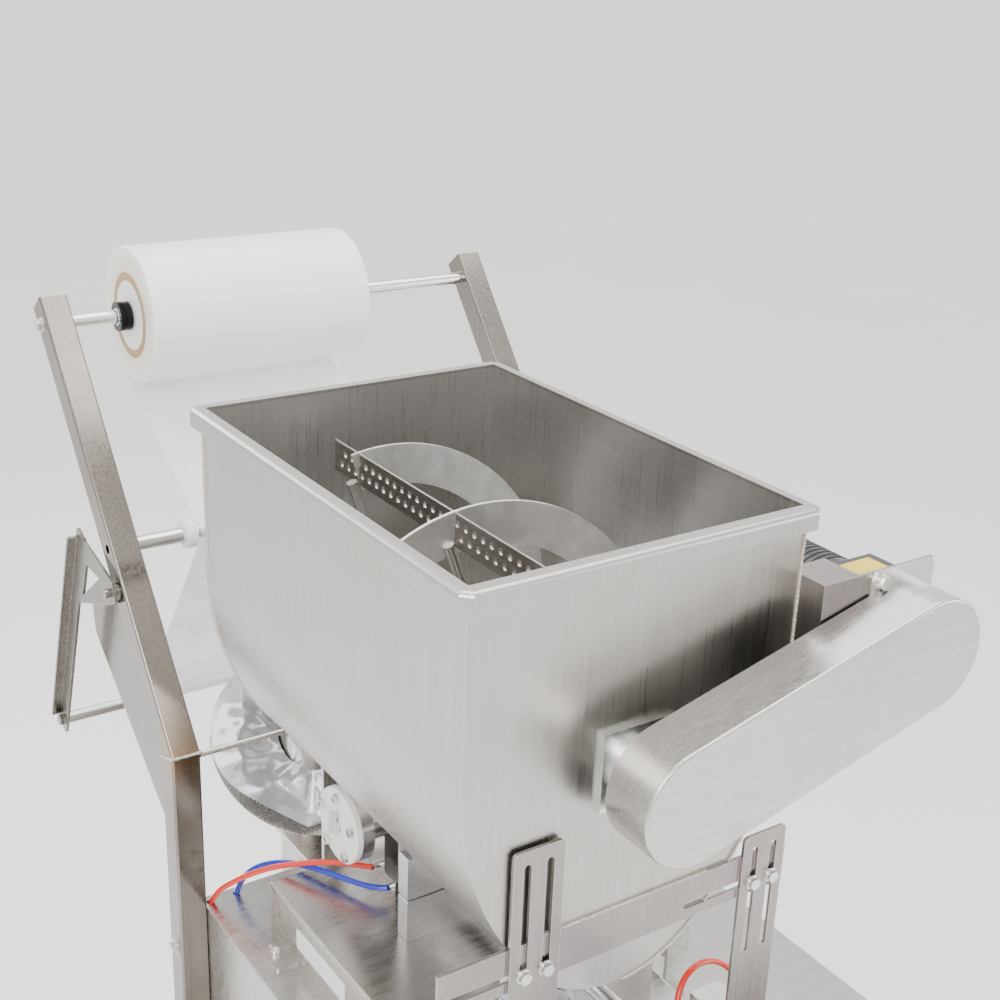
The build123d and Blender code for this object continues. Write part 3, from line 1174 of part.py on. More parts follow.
# ---- control box beside the bag former ---------------------------------------------------------------------------
panel_x = (95.0, 235.0)
panel_y = (cabinet_rear, 262.0)
panel_z = (680.0, 900.0)
panel_mid = (panel_x[0] + panel_x[1]) / 2
screen_z = 835.0
start_spot = (panel_mid - 34, 735.0)
stop_spot = (panel_mid + 34, 735.0)
switch_spot = (panel_mid, 705.0)
button_hole = 11.4
with BuildPart() as control_box:
    block(panel_x, panel_y, panel_z)
    fillet(control_box.edges().filter_by(Axis.Y), 6)
    fillet(control_box.faces().sort_by(Axis.Y)[-1].edges(), 2)
    for spot_x, spot_z in (start_spot, stop_spot):
        rod((spot_x, panel_y[1] - 14, spot_z), (spot_x, panel_y[1] + 1, spot_z), button_hole, Mode.SUBTRACT)
    rod((switch_spot[0], panel_y[1] - 14, switch_spot[1]), (switch_spot[0], panel_y[1] + 1, switch_spot[1]),
        5 + running_gap, Mode.SUBTRACT)
control_box.part.label = "control_box"
export_step(control_box.part, "parts/control_box.step")

with BuildPart() as touch_screen:
    block((panel_mid - 58, panel_mid + 58), (panel_y[1], panel_y[1] + 5), (screen_z - 42, screen_z + 42))
    fillet(touch_screen.edges().filter_by(Axis.Y), 4)
    fillet(touch_screen.faces().sort_by(Axis.Y)[-1].edges(), 1.5)
touch_screen.part.label = "touch_screen"
export_step(touch_screen.part, "parts/touch_screen.step")

button_travel = 4.0
with BuildPart() as start_button:
    rod((start_spot[0], panel_y[1] - 14 + button_travel + 1, start_spot[1]),
        (start_spot[0], panel_y[1] + 6, start_spot[1]), button_hole - free_gap)
    fillet(start_button.faces().sort_by(Axis.Y)[-1].edges(), 1.5)
start_button.part.label = "start_button"
export_step(start_button.part, "parts/start_button.step")

mushroom_radius = 18.0
with BuildPart() as stop_button:
    rod((stop_spot[0], panel_y[1] - 14 + button_travel + 1, stop_spot[1]),
        (stop_spot[0], panel_y[1] + 12, stop_spot[1]), button_hole - free_gap)
    rod((stop_spot[0], panel_y[1] + 12, stop_spot[1]), (stop_spot[0], panel_y[1] + 24, stop_spot[1]),
        mushroom_radius)
    fillet(stop_button.faces().sort_by(Axis.Y)[-1].edges(), 5)
stop_button.part.label = "stop_button"
export_step(stop_button.part, "parts/stop_button.step")

with BuildPart() as main_switch:
    rod((switch_spot[0], panel_y[1] - 12, switch_spot[1]), (switch_spot[0], panel_y[1] + 0.5, switch_spot[1]), 5)
    rod((switch_spot[0], panel_y[1] + 0.5, switch_spot[1]), (switch_spot[0], panel_y[1] + 8, switch_spot[1]), 11)
    block((switch_spot[0] - 3, switch_spot[0] + 3), (panel_y[1] + 8, panel_y[1] + 16),
          (switch_spot[1] - 11, switch_spot[1] + 11))
main_switch.part.label = "main_switch"
export_step(main_switch.part, "parts/main_switch.step")

# ---- fasteners that show -----------------------------------------------------------------------------------------
with BuildPart() as fasteners:
    for face_y, outward, bracket_row in (
        (front_bracket_face, -1, front_brackets),
        (rear_bracket_face, 1, rear_brackets),
    ):
        for mid_x, top_z in bracket_row:
            for slot_side in (-1, 1):
                bolt_x = mid_x + slot_side * bracket_slot_gap / 2
                hex_bolt((bolt_x, face_y, cross_slot_z), (0, outward, 0), 10, 4.5, 6.5)
    hex_bolt((tab_x[0] + 12, guard_rear, tab_bolt_z), (0, -1, 0), 10, 4.5, 6.5)
    for side in (-1, 1):
        for bolt_y, bolt_z in ((post_y, 905.0), (post_y, 640.0), (arm_top[0] - 16, arm_top[1] - 20)):
            hex_bolt((side * post_outer, bolt_y, bolt_z), (side, 0, 0), 13, 5, 8)
    for clamp_y in clamp_positions:
        for side in (-1, 1):
            socket_screw((pump_x + side * clamp_screw_x, clamp_y, clamp_top), (0, 0, 1), 5, 5)
    for screw in range(5):
        screw_turn = radians(18 + 72 * screw)
        socket_screw((flange_x[0], valve_y + 31 * cos(screw_turn), valve_z + 31 * sin(screw_turn)), (-1, 0, 0), 4, 4)
    socket_screw((tab_screw[0], tab_screw[1], deck_z + 2.5), (0, 0, 1), 5, 3)
    for panel_bolt_y in (-440.0, -180.0, 62.0):
        for side in (-1, 1):
            socket_screw((side * half_cabinet, panel_bolt_y, panel_top - 12), (side, 0, 0), 5, 3)
fasteners.part.label = "fasteners"
export_step(fasteners.part, "parts/fasteners.step")
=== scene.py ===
# %% [markdown]
# # A vertical form fill sealer for sauces
#
# The machine pumps sauce from a stirred trough into bags that it forms from a roll of film.
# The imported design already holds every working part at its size.  This lesson gives those parts
# their finishes and adds what a drawing leaves out: weld beads, real bolts, hoses, wrinkled film.
# Everything is in metres, +Z up, with the origin on the floor under the middle of the machine.

import math

import bmesh
import bpy
import numpy as np
from mathutils import Matrix, Vector, noise


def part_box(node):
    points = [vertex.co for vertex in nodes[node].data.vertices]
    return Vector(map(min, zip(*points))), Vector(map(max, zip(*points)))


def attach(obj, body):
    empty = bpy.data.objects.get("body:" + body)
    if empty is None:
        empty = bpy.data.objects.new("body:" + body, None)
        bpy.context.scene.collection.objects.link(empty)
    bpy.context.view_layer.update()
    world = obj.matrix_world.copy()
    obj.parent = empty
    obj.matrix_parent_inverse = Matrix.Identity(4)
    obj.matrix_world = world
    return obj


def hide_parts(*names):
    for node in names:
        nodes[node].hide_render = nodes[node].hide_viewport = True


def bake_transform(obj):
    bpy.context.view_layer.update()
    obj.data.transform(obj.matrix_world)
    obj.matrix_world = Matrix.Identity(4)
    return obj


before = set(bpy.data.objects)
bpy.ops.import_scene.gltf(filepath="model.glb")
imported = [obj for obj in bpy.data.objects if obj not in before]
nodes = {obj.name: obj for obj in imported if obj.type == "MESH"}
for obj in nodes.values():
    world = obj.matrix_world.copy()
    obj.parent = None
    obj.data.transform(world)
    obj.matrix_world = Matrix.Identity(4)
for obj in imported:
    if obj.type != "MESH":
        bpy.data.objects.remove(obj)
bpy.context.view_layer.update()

# %% [markdown]
# ## Camera
# A long lens stands to the left of the hopper and looks down on it by about twenty degrees.
# The three angles turn into a view direction, a right direction and a down direction, and those
# three are the columns of the camera's rotation.

# %% Camera
camera_place = Vector((-0.7422, -1.1165, 1.9217))
yaw, pitch, roll = (math.radians(angle) for angle in (34.448, 21.195, -2.166))
forward = Vector((math.sin(yaw) * math.cos(pitch), math.cos(yaw) * math.cos(pitch), -math.sin(pitch)))
level_right = Vector((math.cos(yaw), -math.sin(yaw), 0))
level_down = forward.cross(level_right)
right = level_right * math.cos(roll) + level_down * math.sin(roll)
down = level_down * math.cos(roll) - level_right * math.sin(roll)

camera_data = bpy.data.cameras.new("camera")
camera_data.sensor_width = 36
camera_data.lens = 54.05
camera_data.clip_end = 50
camera = bpy.data.objects.new("camera", camera_data)
bpy.context.scene.collection.objects.link(camera)
facing = Matrix((right, -down, -forward)).transposed()
camera.matrix_world = Matrix.Translation(camera_place) @ facing.to_4x4()
bpy.context.scene.camera = camera
print("camera looks along", [round(x, 3) for x in forward])

# %% [markdown]
# ## Air hoses
# Each hose is a fixed length of glossy 6 mm polyurethane tube, pushed into a fitting at one end
# and through a grommet at the other.  A NURBS curve of order 3 gives the even bend of a springy
# tube: its few control points pull the line instead of pinning it.

# %% Hoses
hose_diameter = 0.006


def hose(name, node, route):
    """One free hose: a smooth curve with a round section that stands for the CAD tube."""
    curve = bpy.data.curves.new(name, "CURVE")
    curve.dimensions = "3D"
    curve.resolution_u = 10
    curve.bevel_depth = hose_diameter / 2
    curve.bevel_resolution = 6
    curve.use_fill_caps = True
    spline = curve.splines.new("NURBS")
    spline.points.add(len(route) - 1)
    for point, place in zip(spline.points, route):
        point.co = (*place, 1)
    spline.order_u = 3
    spline.use_endpoint_u = True
    piece = bpy.data.objects.new(name, curve)
    bpy.context.scene.collection.objects.link(piece)
    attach(piece, "machine")
    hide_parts(node)
    return piece


red_hose = hose("red_air_hose", "red_hose", [
    (-0.122, -0.012, 1.035), (-0.137, 0.006, 1.034), (-0.154, 0.026, 1.030), (-0.172, 0.047, 1.022),
    (-0.190, 0.068, 1.012), (-0.207, 0.088, 0.998), (-0.222, 0.106, 0.981), (-0.233, 0.120, 0.965),
    (-0.238, 0.1265, 0.948)])
blue_hose = hose("blue_air_hose", "blue_hose", [
    (-0.117, -0.034, 1.022), (-0.126, -0.027, 1.021), (-0.135, -0.011, 1.019), (-0.144, 0.009, 1.0175),
    (-0.155, 0.031, 1.0165), (-0.167, 0.055, 1.014), (-0.182, 0.082, 1.007), (-0.197, 0.107, 0.990),
    (-0.206, 0.122, 0.967), (-0.2085, 0.127, 0.948)])
front_hose = hose("front_air_hose", "front_hose", [
    (0.116, -0.318, 0.975), (0.112, -0.312, 0.990), (0.102, -0.304, 1.012), (0.082, -0.300, 1.033),
    (0.056, -0.300, 1.042), (0.034, -0.304, 1.034), (0.021, -0.313, 1.014), (0.015, -0.326, 0.990),
    (0.013, -0.332, 0.970)])
print("hoses", red_hose.name, blue_hose.name, front_hose.name)

# %% [markdown]
# ## Finishes: shared groups
# Nearly everything here is stainless steel, so the effects that tell one sheet from another are
# built once as node groups.  *Brushed grain* stretches noise along one direction.  *Worn edges*
# compares the real normal with a rounded one, which differ only along edges.  *Clouds* is a slow
# patchy mask for the painted reflection tints on steel, smears and dust.  They put out masks and a
# normal; the shader itself stays in each material.

# %% Node helpers
def add(tree, kind, **settings):
    """A node with its plain settings; a key that names an input sets that input."""
    node = tree.nodes.new(kind)
    for key, value in settings.items():
        if hasattr(node, key):
            setattr(node, key, value)
        else:
            node.inputs[key.replace("_", " ")].default_value = value
    return node


def wire(tree, source, output, target, entry):
    tree.links.new(source.outputs[output], target.inputs[entry])


def group(name, inputs, outputs):
    """A shader group with named sockets: inputs give name -> (kind, default)."""
    tree = bpy.data.node_groups.new(name, "ShaderNodeTree")
    for label, (kind, value) in inputs.items():
        socket = tree.interface.new_socket(name=label, in_out="INPUT", socket_type=kind)
        socket.default_value = value
    for label, kind in outputs.items():
        tree.interface.new_socket(name=label, in_out="OUTPUT", socket_type=kind)
    return tree, tree.nodes.new("NodeGroupInput"), tree.nodes.new("NodeGroupOutput")


def place_group(tree, shared, **values):
    node = tree.nodes.new("ShaderNodeGroup")
    node.node_tree = shared
    for key, value in values.items():
        node.inputs[key].default_value = value
    return node


# %% Brushed grain
grain_group, given, result = group(
    "brushed_grain",
    {"Stretch": ("NodeSocketVector", (400, 400, 8)), "Bump": ("NodeSocketFloat", 0.1)},
    {"Streak": "NodeSocketFloat", "Normal": "NodeSocketVector"})
where = add(grain_group, "ShaderNodeTexCoord")
stretch = add(grain_group, "ShaderNodeMapping")
fine = add(grain_group, "ShaderNodeTexNoise", Scale=1.0, Detail=5.0, Roughness=0.7)
even = add(grain_group, "ShaderNodeMapRange")
even.inputs["From Min"].default_value = 0.3
even.inputs["From Max"].default_value = 0.7
bump = add(grain_group, "ShaderNodeBump", Distance=0.0004)
wire(grain_group, where, "Object", stretch, "Vector")
wire(grain_group, given, "Stretch", stretch, "Scale")
wire(grain_group, stretch, "Vector", fine, "Vector")
wire(grain_group, fine, "Fac", even, "Value")
wire(grain_group, even, "Result", result, "Streak")
wire(grain_group, even, "Result", bump, "Height")
wire(grain_group, given, "Bump", bump, "Strength")
wire(grain_group, bump, "Normal", result, "Normal")
print("grain group", len(grain_group.nodes), "nodes")

# %% Worn edges
wear_group, given, result = group(
    "worn_edges",
    {"Radius": ("NodeSocketFloat", 0.0008), "Gain": ("NodeSocketFloat", 4.0)},
    {"Mask": "NodeSocketFloat"})
rounded = add(wear_group, "ShaderNodeBevel", samples=8)
surface = add(wear_group, "ShaderNodeNewGeometry")
compare = add(wear_group, "ShaderNodeVectorMath", operation="DOT_PRODUCT")
differ = add(wear_group, "ShaderNodeMath", operation="SUBTRACT")
differ.inputs[0].default_value = 0.985
gain = add(wear_group, "ShaderNodeMath", operation="MULTIPLY", use_clamp=True)
wire(wear_group, given, "Radius", rounded, "Radius")
wire(wear_group, rounded, "Normal", compare, 0)
wire(wear_group, surface, "Normal", compare, 1)
wear_group.links.new(compare.outputs["Value"], differ.inputs[1])
wire(wear_group, differ, 0, gain, 0)
wire(wear_group, given, "Gain", gain, 1)
wire(wear_group, gain, 0, result, "Mask")
print("wear group", len(wear_group.nodes), "nodes")

# %% Clouds
cloud_group, given, result = group(
    "clouds",
    {"Size": ("NodeSocketFloat", 6.0), "From": ("NodeSocketFloat", 0.45), "To": ("NodeSocketFloat", 0.75)},
    {"Mask": "NodeSocketFloat"})
where = add(cloud_group, "ShaderNodeTexCoord")
patchy = add(cloud_group, "ShaderNodeTexNoise", Detail=4.0, Roughness=0.6)
limits = add(cloud_group, "ShaderNodeMapRange")
wire(cloud_group, where, "Object", patchy, "Vector")
wire(cloud_group, given, "Size", patchy, "Scale")
wire(cloud_group, patchy, "Fac", limits, "Value")
wire(cloud_group, given, "From", limits, "From Min")
wire(cloud_group, given, "To", limits, "From Max")
wire(cloud_group, limits, "Result", result, "Mask")
print("cloud group", len(cloud_group.nodes), "nodes")

# %% [markdown]
# ## Steel
# One function lays out a stainless material.  Light and dark are the two ends of the brushing,
# the painted reflection is a warm reflection of the workshop painted into the colour in slow
# patches, and the streaks also move the roughness, because a scratch scatters light more than a flat.

# %% Steel
def blank(name):
    """A material with only its output and a Principled shader."""
    material = bpy.data.materials.new(name)
    material.use_nodes = True
    tree = material.node_tree
    shader = next(node for node in tree.nodes if node.type == "BSDF_PRINCIPLED")
    return material, tree, shader


def mix_colour(tree, mask, output, low, high, amount=1.0):
    """A colour between low and high; each is a colour or a (node, output) pair."""
    scaled = add(tree, "ShaderNodeMath", operation="MULTIPLY", use_clamp=True)
    scaled.inputs[1].default_value = amount
    wire(tree, mask, output, scaled, 0)
    mixer = add(tree, "ShaderNodeMix", data_type="RGBA")
    tree.links.new(scaled.outputs[0], mixer.inputs[0])
    for entry, colour in ((6, low), (7, high)):
        if isinstance(colour[0], bpy.types.Node):
            tree.links.new(colour[0].outputs[colour[1]], mixer.inputs[entry])
        else:
            mixer.inputs[entry].default_value = (*colour, 1)
    return mixer


def ramp_value(tree, source, output, low, high):
    """A value that runs from low to high as the mask runs from 0 to 1."""
    limits = add(tree, "ShaderNodeMapRange")
    limits.inputs["To Min"].default_value = low
    limits.inputs["To Max"].default_value = high
    wire(tree, source, output, limits, "Value")
    return limits


def steel(name, light, dark, painted_reflection, roughness, stretch, bump=0.08, wear=0.6, reflection_patch_size=5.0, reflection_amount=0.6,
          anisotropic=0.3):
    """Stainless steel: brushed grain, a patchy painted warm reflection, bright worn edges."""
    material, tree, shader = blank(name)
    grain = place_group(tree, grain_group, Stretch=stretch, Bump=bump)
    cloud = place_group(tree, cloud_group, Size=reflection_patch_size)
    worn = place_group(tree, wear_group)
    brushed = mix_colour(tree, grain, "Streak", dark, light)
    # Painted reflection: a warm tone mixed into the colour in slow patches stands in for the workshop's
    # reflection.
    tinted = mix_colour(tree, cloud, "Mask", (brushed, 2), painted_reflection, reflection_amount)
    edged = mix_colour(tree, worn, "Mask", (tinted, 2), (0.93, 0.93, 0.92), wear)
    rough = ramp_value(tree, grain, "Streak", roughness - 0.05, roughness + 0.08)
    wire(tree, edged, 2, shader, "Base Color")
    wire(tree, rough, "Result", shader, "Roughness")
    wire(tree, grain, "Normal", shader, "Normal")
    shader.inputs["Metallic"].default_value = 1.0
    shader.inputs["Anisotropic"].default_value = anisotropic
    return material, tree, shader, edged


vertical = (420, 420, 6)
lengthwise = (420, 6, 420)
crosswise = (6, 420, 420)
random_grain = (90, 90, 90)
sheet_grain = (5, 90, 60)

# The fourth colour of each steel is its painted warm reflection, mixed in slow patches.
folded_panel = steel("folded_panel", (0.56, 0.54, 0.515), (0.51, 0.49, 0.47), (0.44, 0.40, 0.35), 0.26,
                     sheet_grain, 0.01, 0.6, 3.0, 0.45)[0]
cut_plate = steel("cut_plate", (0.42, 0.39, 0.37), (0.31, 0.29, 0.27), (0.34, 0.28, 0.28), 0.30, vertical,
                  0.05, 0.9, 16.0, 0.7)[0]
strip_plate = steel("strip_plate", (0.62, 0.58, 0.54), (0.44, 0.41, 0.38), (0.34, 0.30, 0.28), 0.28,
                    lengthwise, 0.06, 0.9, 20.0)[0]
ground_bar = steel("ground_bar", (0.85, 0.84, 0.82), (0.70, 0.69, 0.67), (0.60, 0.56, 0.50), 0.16, crosswise,
                   0.03, 0.4)[0]
dark_angle = steel("dark_angle", (0.34, 0.32, 0.29), (0.24, 0.22, 0.20), (0.16, 0.15, 0.13), 0.26, vertical,
                   0.04, 0.8)[0]
brushed_tube = steel("brushed_tube", (0.74, 0.72, 0.69), (0.56, 0.54, 0.51), (0.50, 0.45, 0.38), 0.24,
                     vertical)[0]
turned_steel = steel("turned_steel", (0.80, 0.79, 0.77), (0.62, 0.61, 0.60), (0.52, 0.49, 0.45), 0.20,
                     lengthwise)[0]
satin_aluminium = steel("satin_aluminium", (0.86, 0.86, 0.87), (0.74, 0.74, 0.76), (0.66, 0.65, 0.64), 0.36,
                        crosswise, 0.05, 0.7, 9.0, 0.4)[0]
bright_zinc = steel("bright_zinc", (0.84, 0.84, 0.82), (0.66, 0.66, 0.64), (0.68, 0.66, 0.56), 0.22,
                    random_grain, 0.05, 0.5, 60.0)[0]
weld_steel = steel("weld_steel", (0.70, 0.66, 0.60), (0.46, 0.42, 0.38), (0.38, 0.30, 0.26), 0.30,
                   random_grain, 0.2, 0.3, 90.0, 0.8)[0]
guard_steel = steel("guard_steel", (0.68, 0.66, 0.63), (0.57, 0.55, 0.53), (0.47, 0.44, 0.40), 0.26,
                    (10, 420, 300), 0.05, 0.9, 7.0, 0.55)[0]
ribbon_steel = steel("ribbon_steel", (0.90, 0.89, 0.87), (0.80, 0.79, 0.77), (0.70, 0.67, 0.63), 0.42,
                     random_grain, 0.03, 0.3, 14.0, 0.4)[0]
knife_steel = steel("knife_steel", (0.75, 0.75, 0.75), (0.6, 0.6, 0.6), (0.5, 0.5, 0.5), 0.15, crosswise)[0]
print("steels made", len(bpy.data.materials))

# %% [markdown]
# ## Hopper steel
# The trough is one sheet with two looks.  Its outside is brushed upright and carries a patchy beige
# tint, a painted warm reflection; its inside is smoother, mirrors the other walls and has a lighter
# painted tone of its own, painted light that makes up for the dim light inside the trough.
# Wherever the sheet's normal points back towards the middle of the trough, below the rim's top
# face, it is the inside.

# %% Inside mask and hopper steel
def span_mask(tree, coordinate, output, low, high):
    """One where a coordinate lies between low and high, else zero."""
    above = add(tree, "ShaderNodeMath", operation="GREATER_THAN")
    above.inputs[1].default_value = low
    below = add(tree, "ShaderNodeMath", operation="LESS_THAN")
    below.inputs[1].default_value = high
    both = add(tree, "ShaderNodeMath", operation="MULTIPLY")
    wire(tree, coordinate, output, above, 0)
    wire(tree, coordinate, output, below, 0)
    wire(tree, above, 0, both, 0)
    wire(tree, below, 0, both, 1)
    return both


def object_axes(tree):
    """The texture coordinate node and its object coordinate split into X, Y and Z."""
    where = add(tree, "ShaderNodeTexCoord")
    axes = add(tree, "ShaderNodeSeparateXYZ")
    wire(tree, where, "Object", axes, "Vector")
    return where, axes


def multiply(tree, first, second):
    product = add(tree, "ShaderNodeMath", operation="MULTIPLY")
    wire(tree, first, 0, product, 0)
    wire(tree, second, 0, product, 1)
    return product


rim_depth = 0.017
rim_overhang = 0.010
wall = 0.0015
top_face = 0.003
hopper_low, hopper_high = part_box("hopper")
bearing_low, bearing_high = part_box("shaft_bearings")
shaft_z = (bearing_low.z + bearing_high.z) / 2
trough_half = 0.157
trough_x = (hopper_low.x + hopper_high.x) / 2
trough_front, trough_back = hopper_low.y + rim_overhang + 0.002, hopper_high.y - rim_overhang - 0.002

hopper_steel, tree, shader, outside = steel(
    "hopper_steel", (0.57, 0.55, 0.515), (0.47, 0.455, 0.43), (0.45, 0.385, 0.31), 0.29, vertical,
    0.04, 0.6, 3.0, 0.5)
where, axes = object_axes(tree)
from_middle = add(tree, "ShaderNodeVectorMath", operation="SUBTRACT")
from_middle.inputs[1].default_value = (trough_x, (trough_front + trough_back) / 2, shaft_z)
facing_out = add(tree, "ShaderNodeVectorMath", operation="DOT_PRODUCT")
inward = add(tree, "ShaderNodeMath", operation="LESS_THAN")
inward.inputs[1].default_value = 0.0
wire(tree, where, "Object", from_middle, 0)
wire(tree, from_middle, 0, facing_out, 0)
wire(tree, where, "Normal", facing_out, 1)
tree.links.new(facing_out.outputs["Value"], inward.inputs[0])
inside = multiply(tree, inward, span_mask(tree, axes, "Z", hopper_low.z - wall, hopper_high.z - top_face))
cross_grain = place_group(tree, grain_group, Stretch=(300, 12, 300), Bump=0.05)
# Painted light: the inside walls get a lighter base tone than the outside, to make up for the dim light
# inside the trough.
inside_painted_tone = mix_colour(tree, cross_grain, "Streak", (0.60, 0.585, 0.565), (0.70, 0.68, 0.655))
whole = mix_colour(tree, inside, 0, (outside, 2), (inside_painted_tone, 2))
wire(tree, whole, 2, shader, "Base Color")
print("inside of the trough", round(hopper_high.x - hopper_low.x, 3), "m wide at the rim")

# %% [markdown]
# ## Heat-tinted posts
# The two reel posts are polished square tube, bent by a mitre weld at the knee.  Welding leaves a
# straw and brown bloom that fades within a few centimetres, so its mask is the height above or
# below the knee, kept to a band in Y round the posts.

# %% Post steel
knee_z = 1.132
post_y = 0.132
half_post = 0.015
bloom_reach = 0.045
post_steel, tree, shader, polished = steel(
    "post_steel", (0.32, 0.29, 0.26), (0.22, 0.20, 0.18), (0.13, 0.10, 0.08), 0.12, vertical,
    0.025, 0.7, 4.0, 0.75)
where, axes = object_axes(tree)
from_knee = add(tree, "ShaderNodeMath", operation="SUBTRACT")
from_knee.inputs[1].default_value = knee_z
distance = add(tree, "ShaderNodeMath", operation="ABSOLUTE")
fade = add(tree, "ShaderNodeMapRange")
fade.inputs["From Min"].default_value = bloom_reach
fade.inputs["From Max"].default_value = 0.004
wire(tree, axes, "Z", from_knee, 0)
wire(tree, from_knee, 0, distance, 0)
wire(tree, distance, 0, fade, "Value")
at_weld = multiply(tree, fade, span_mask(tree, axes, "Y", 0.10, post_y + 0.023))
bloom = mix_colour(tree, at_weld, 0, (polished, 2), (0.36, 0.22, 0.11), 0.5)
wire(tree, bloom, 2, shader, "Base Color")
print("bloom around", knee_z, "m")

# %% [markdown]
# ## Plastics, rubber, paint and film
# Moulded parts are one colour with a faint mottle, a fine texture in the normal and paler edges.
# Film is different: it is clear, and only haze and creases show it, so its colour follows streaks
# and its alpha follows slow patches.

# %% Moulded and painted parts
def moulded(name, colour, roughness, mottle=0.12, texture=0.05, size=220.0, coat=0.0):
    """Plastic, rubber or paint: mottled colour, fine bump, paler rubbed edges."""
    material, tree, shader = blank(name)
    cloud = place_group(tree, cloud_group, Size=14.0, From=0.3, To=0.8)
    worn = place_group(tree, wear_group, Radius=0.001)
    grain = place_group(tree, grain_group, Stretch=(size, size, size), Bump=texture)
    deep = tuple(channel * (1 - mottle) for channel in colour)
    pale = tuple(min(1.0, channel * 1.15 + 0.06) for channel in colour)
    mottled = mix_colour(tree, cloud, "Mask", deep, colour)
    edged = mix_colour(tree, worn, "Mask", (mottled, 2), pale, 0.5)
    rough = ramp_value(tree, grain, "Streak", roughness - 0.04, roughness + 0.06)
    wire(tree, edged, 2, shader, "Base Color")
    wire(tree, rough, "Result", shader, "Roughness")
    wire(tree, grain, "Normal", shader, "Normal")
    shader.inputs["Coat Weight"].default_value = coat
    return material


red_plastic = moulded("hose_red", (0.82, 0.022, 0.003), 0.16, 0.08, 0.01, coat=0.4)
blue_plastic = moulded("hose_blue", (0.008, 0.03, 0.50), 0.16, 0.08, 0.01, coat=0.4)
white_nylon = moulded("white_nylon", (0.86, 0.86, 0.83), 0.32, 0.06, 0.03)
black_housing = moulded("black_housing", (0.022, 0.022, 0.024), 0.30, 0.2, 0.12, 300.0, 0.2)
label_yellow = moulded("label_yellow", (0.80, 0.58, 0.05), 0.35, 0.1, 0.02)
label_silver = moulded("label_silver", (0.84, 0.85, 0.86), 0.40, 0.05, 0.02)
drive_rubber = moulded("drive_rubber", (0.46, 0.07, 0.04), 0.62, 0.2, 0.2)
grey_paint = moulded("grey_paint", (0.70, 0.71, 0.70), 0.42, 0.05, 0.12, 500.0)
start_green = moulded("start_green", (0.03, 0.36, 0.09), 0.25, 0.08, 0.02, coat=0.3)
stop_red = moulded("stop_red", (0.62, 0.015, 0.012), 0.25, 0.08, 0.02, coat=0.3)
screen_glass = moulded("screen_glass", (0.02, 0.035, 0.05), 0.08, 0.1, 0.0, coat=0.6)
chain_steel = steel("chain_steel", (0.34, 0.32, 0.29), (0.20, 0.19, 0.17), (0.12, 0.10, 0.08), 0.32,
                    random_grain, 0.1, 0.8, 70.0)[0]

# %% [markdown]
# ## Wound film and card core
# The roll is thousands of turns of thin film.  From the side it is a white cylinder with faint
# bands round it, and on its ends the edges of the turns show as fine rings that grow creamy
# towards the core.  Both come from the distance to the axle.

# %% Film roll
roll_low, roll_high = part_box("film_roll")
axle = (roll_low + roll_high) / 2
roll_radius = (roll_high.z - roll_low.z) / 2
core_radius = (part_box("film_core")[1].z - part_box("film_core")[0].z) / 2


def from_axle(tree):
    """Distance of a point from the reel axle, and its coordinates."""
    where = add(tree, "ShaderNodeTexCoord")
    centred = add(tree, "ShaderNodeMapping")
    centred.inputs["Location"].default_value = -axle
    axes = add(tree, "ShaderNodeSeparateXYZ")
    flat = add(tree, "ShaderNodeCombineXYZ")
    radius = add(tree, "ShaderNodeVectorMath", operation="LENGTH")
    wire(tree, where, "Object", centred, "Vector")
    wire(tree, centred, "Vector", axes, "Vector")
    wire(tree, axes, "Y", flat, "Y")
    wire(tree, axes, "Z", flat, "Z")
    wire(tree, flat, "Vector", radius, 0)
    return axes, radius


film_white, tree, shader = blank("wound_film")
axes, radius = from_axle(tree)
rings = add(tree, "ShaderNodeTexNoise", noise_dimensions="1D", Scale=900.0, Detail=4.0)
tree.links.new(radius.outputs["Value"], rings.inputs["W"])
bands = add(tree, "ShaderNodeTexNoise", noise_dimensions="1D", Scale=26.0, Detail=3.0)
wire(tree, axes, "X", bands, "W")
creamy = add(tree, "ShaderNodeMapRange")
creamy.inputs["From Min"].default_value = roll_radius
creamy.inputs["From Max"].default_value = core_radius
tree.links.new(radius.outputs["Value"], creamy.inputs["Value"])
side = mix_colour(tree, bands, "Fac", (0.88, 0.885, 0.88), (0.95, 0.95, 0.945))
ringed = mix_colour(tree, rings, "Fac", (0.95, 0.945, 0.92), (0.80, 0.77, 0.70), 0.8)
end = mix_colour(tree, creamy, "Result", (ringed, 2), (0.74, 0.66, 0.50), 0.75)
on_side = add(tree, "ShaderNodeMath", operation="GREATER_THAN")
on_side.inputs[1].default_value = roll_radius - 0.002
tree.links.new(radius.outputs["Value"], on_side.inputs[0])
rolled = mix_colour(tree, on_side, 0, (end, 2), (side, 2))
ridges = add(tree, "ShaderNodeBump", Strength=0.25, Distance=0.0003)
wire(tree, rings, "Fac", ridges, "Height")
wire(tree, rolled, 2, shader, "Base Color")
wire(tree, ridges, "Normal", shader, "Normal")
rough = ramp_value(tree, bands, "Fac", 0.2, 0.38)
wire(tree, rough, "Result", shader, "Roughness")
shader.inputs["Coat Weight"].default_value = 0.35
shader.inputs["Subsurface Weight"].default_value = 0.15
shader.inputs["Subsurface Scale"].default_value = 0.01

card, tree, shader = blank("card_core")
axes, radius = from_axle(tree)
layers = add(tree, "ShaderNodeTexNoise", noise_dimensions="1D", Scale=700.0, Detail=2.0)
tree.links.new(radius.outputs["Value"], layers.inputs["W"])
ply = mix_colour(tree, layers, "Fac", (0.30, 0.20, 0.10), (0.52, 0.38, 0.22))
fibre = place_group(tree, grain_group, Stretch=(300, 300, 300), Bump=0.3)
wire(tree, ply, 2, shader, "Base Color")
wire(tree, fibre, "Normal", shader, "Normal")
shader.inputs["Roughness"].default_value = 0.85
print("roll radius", round(roll_radius, 4), "core radius", round(core_radius, 4))

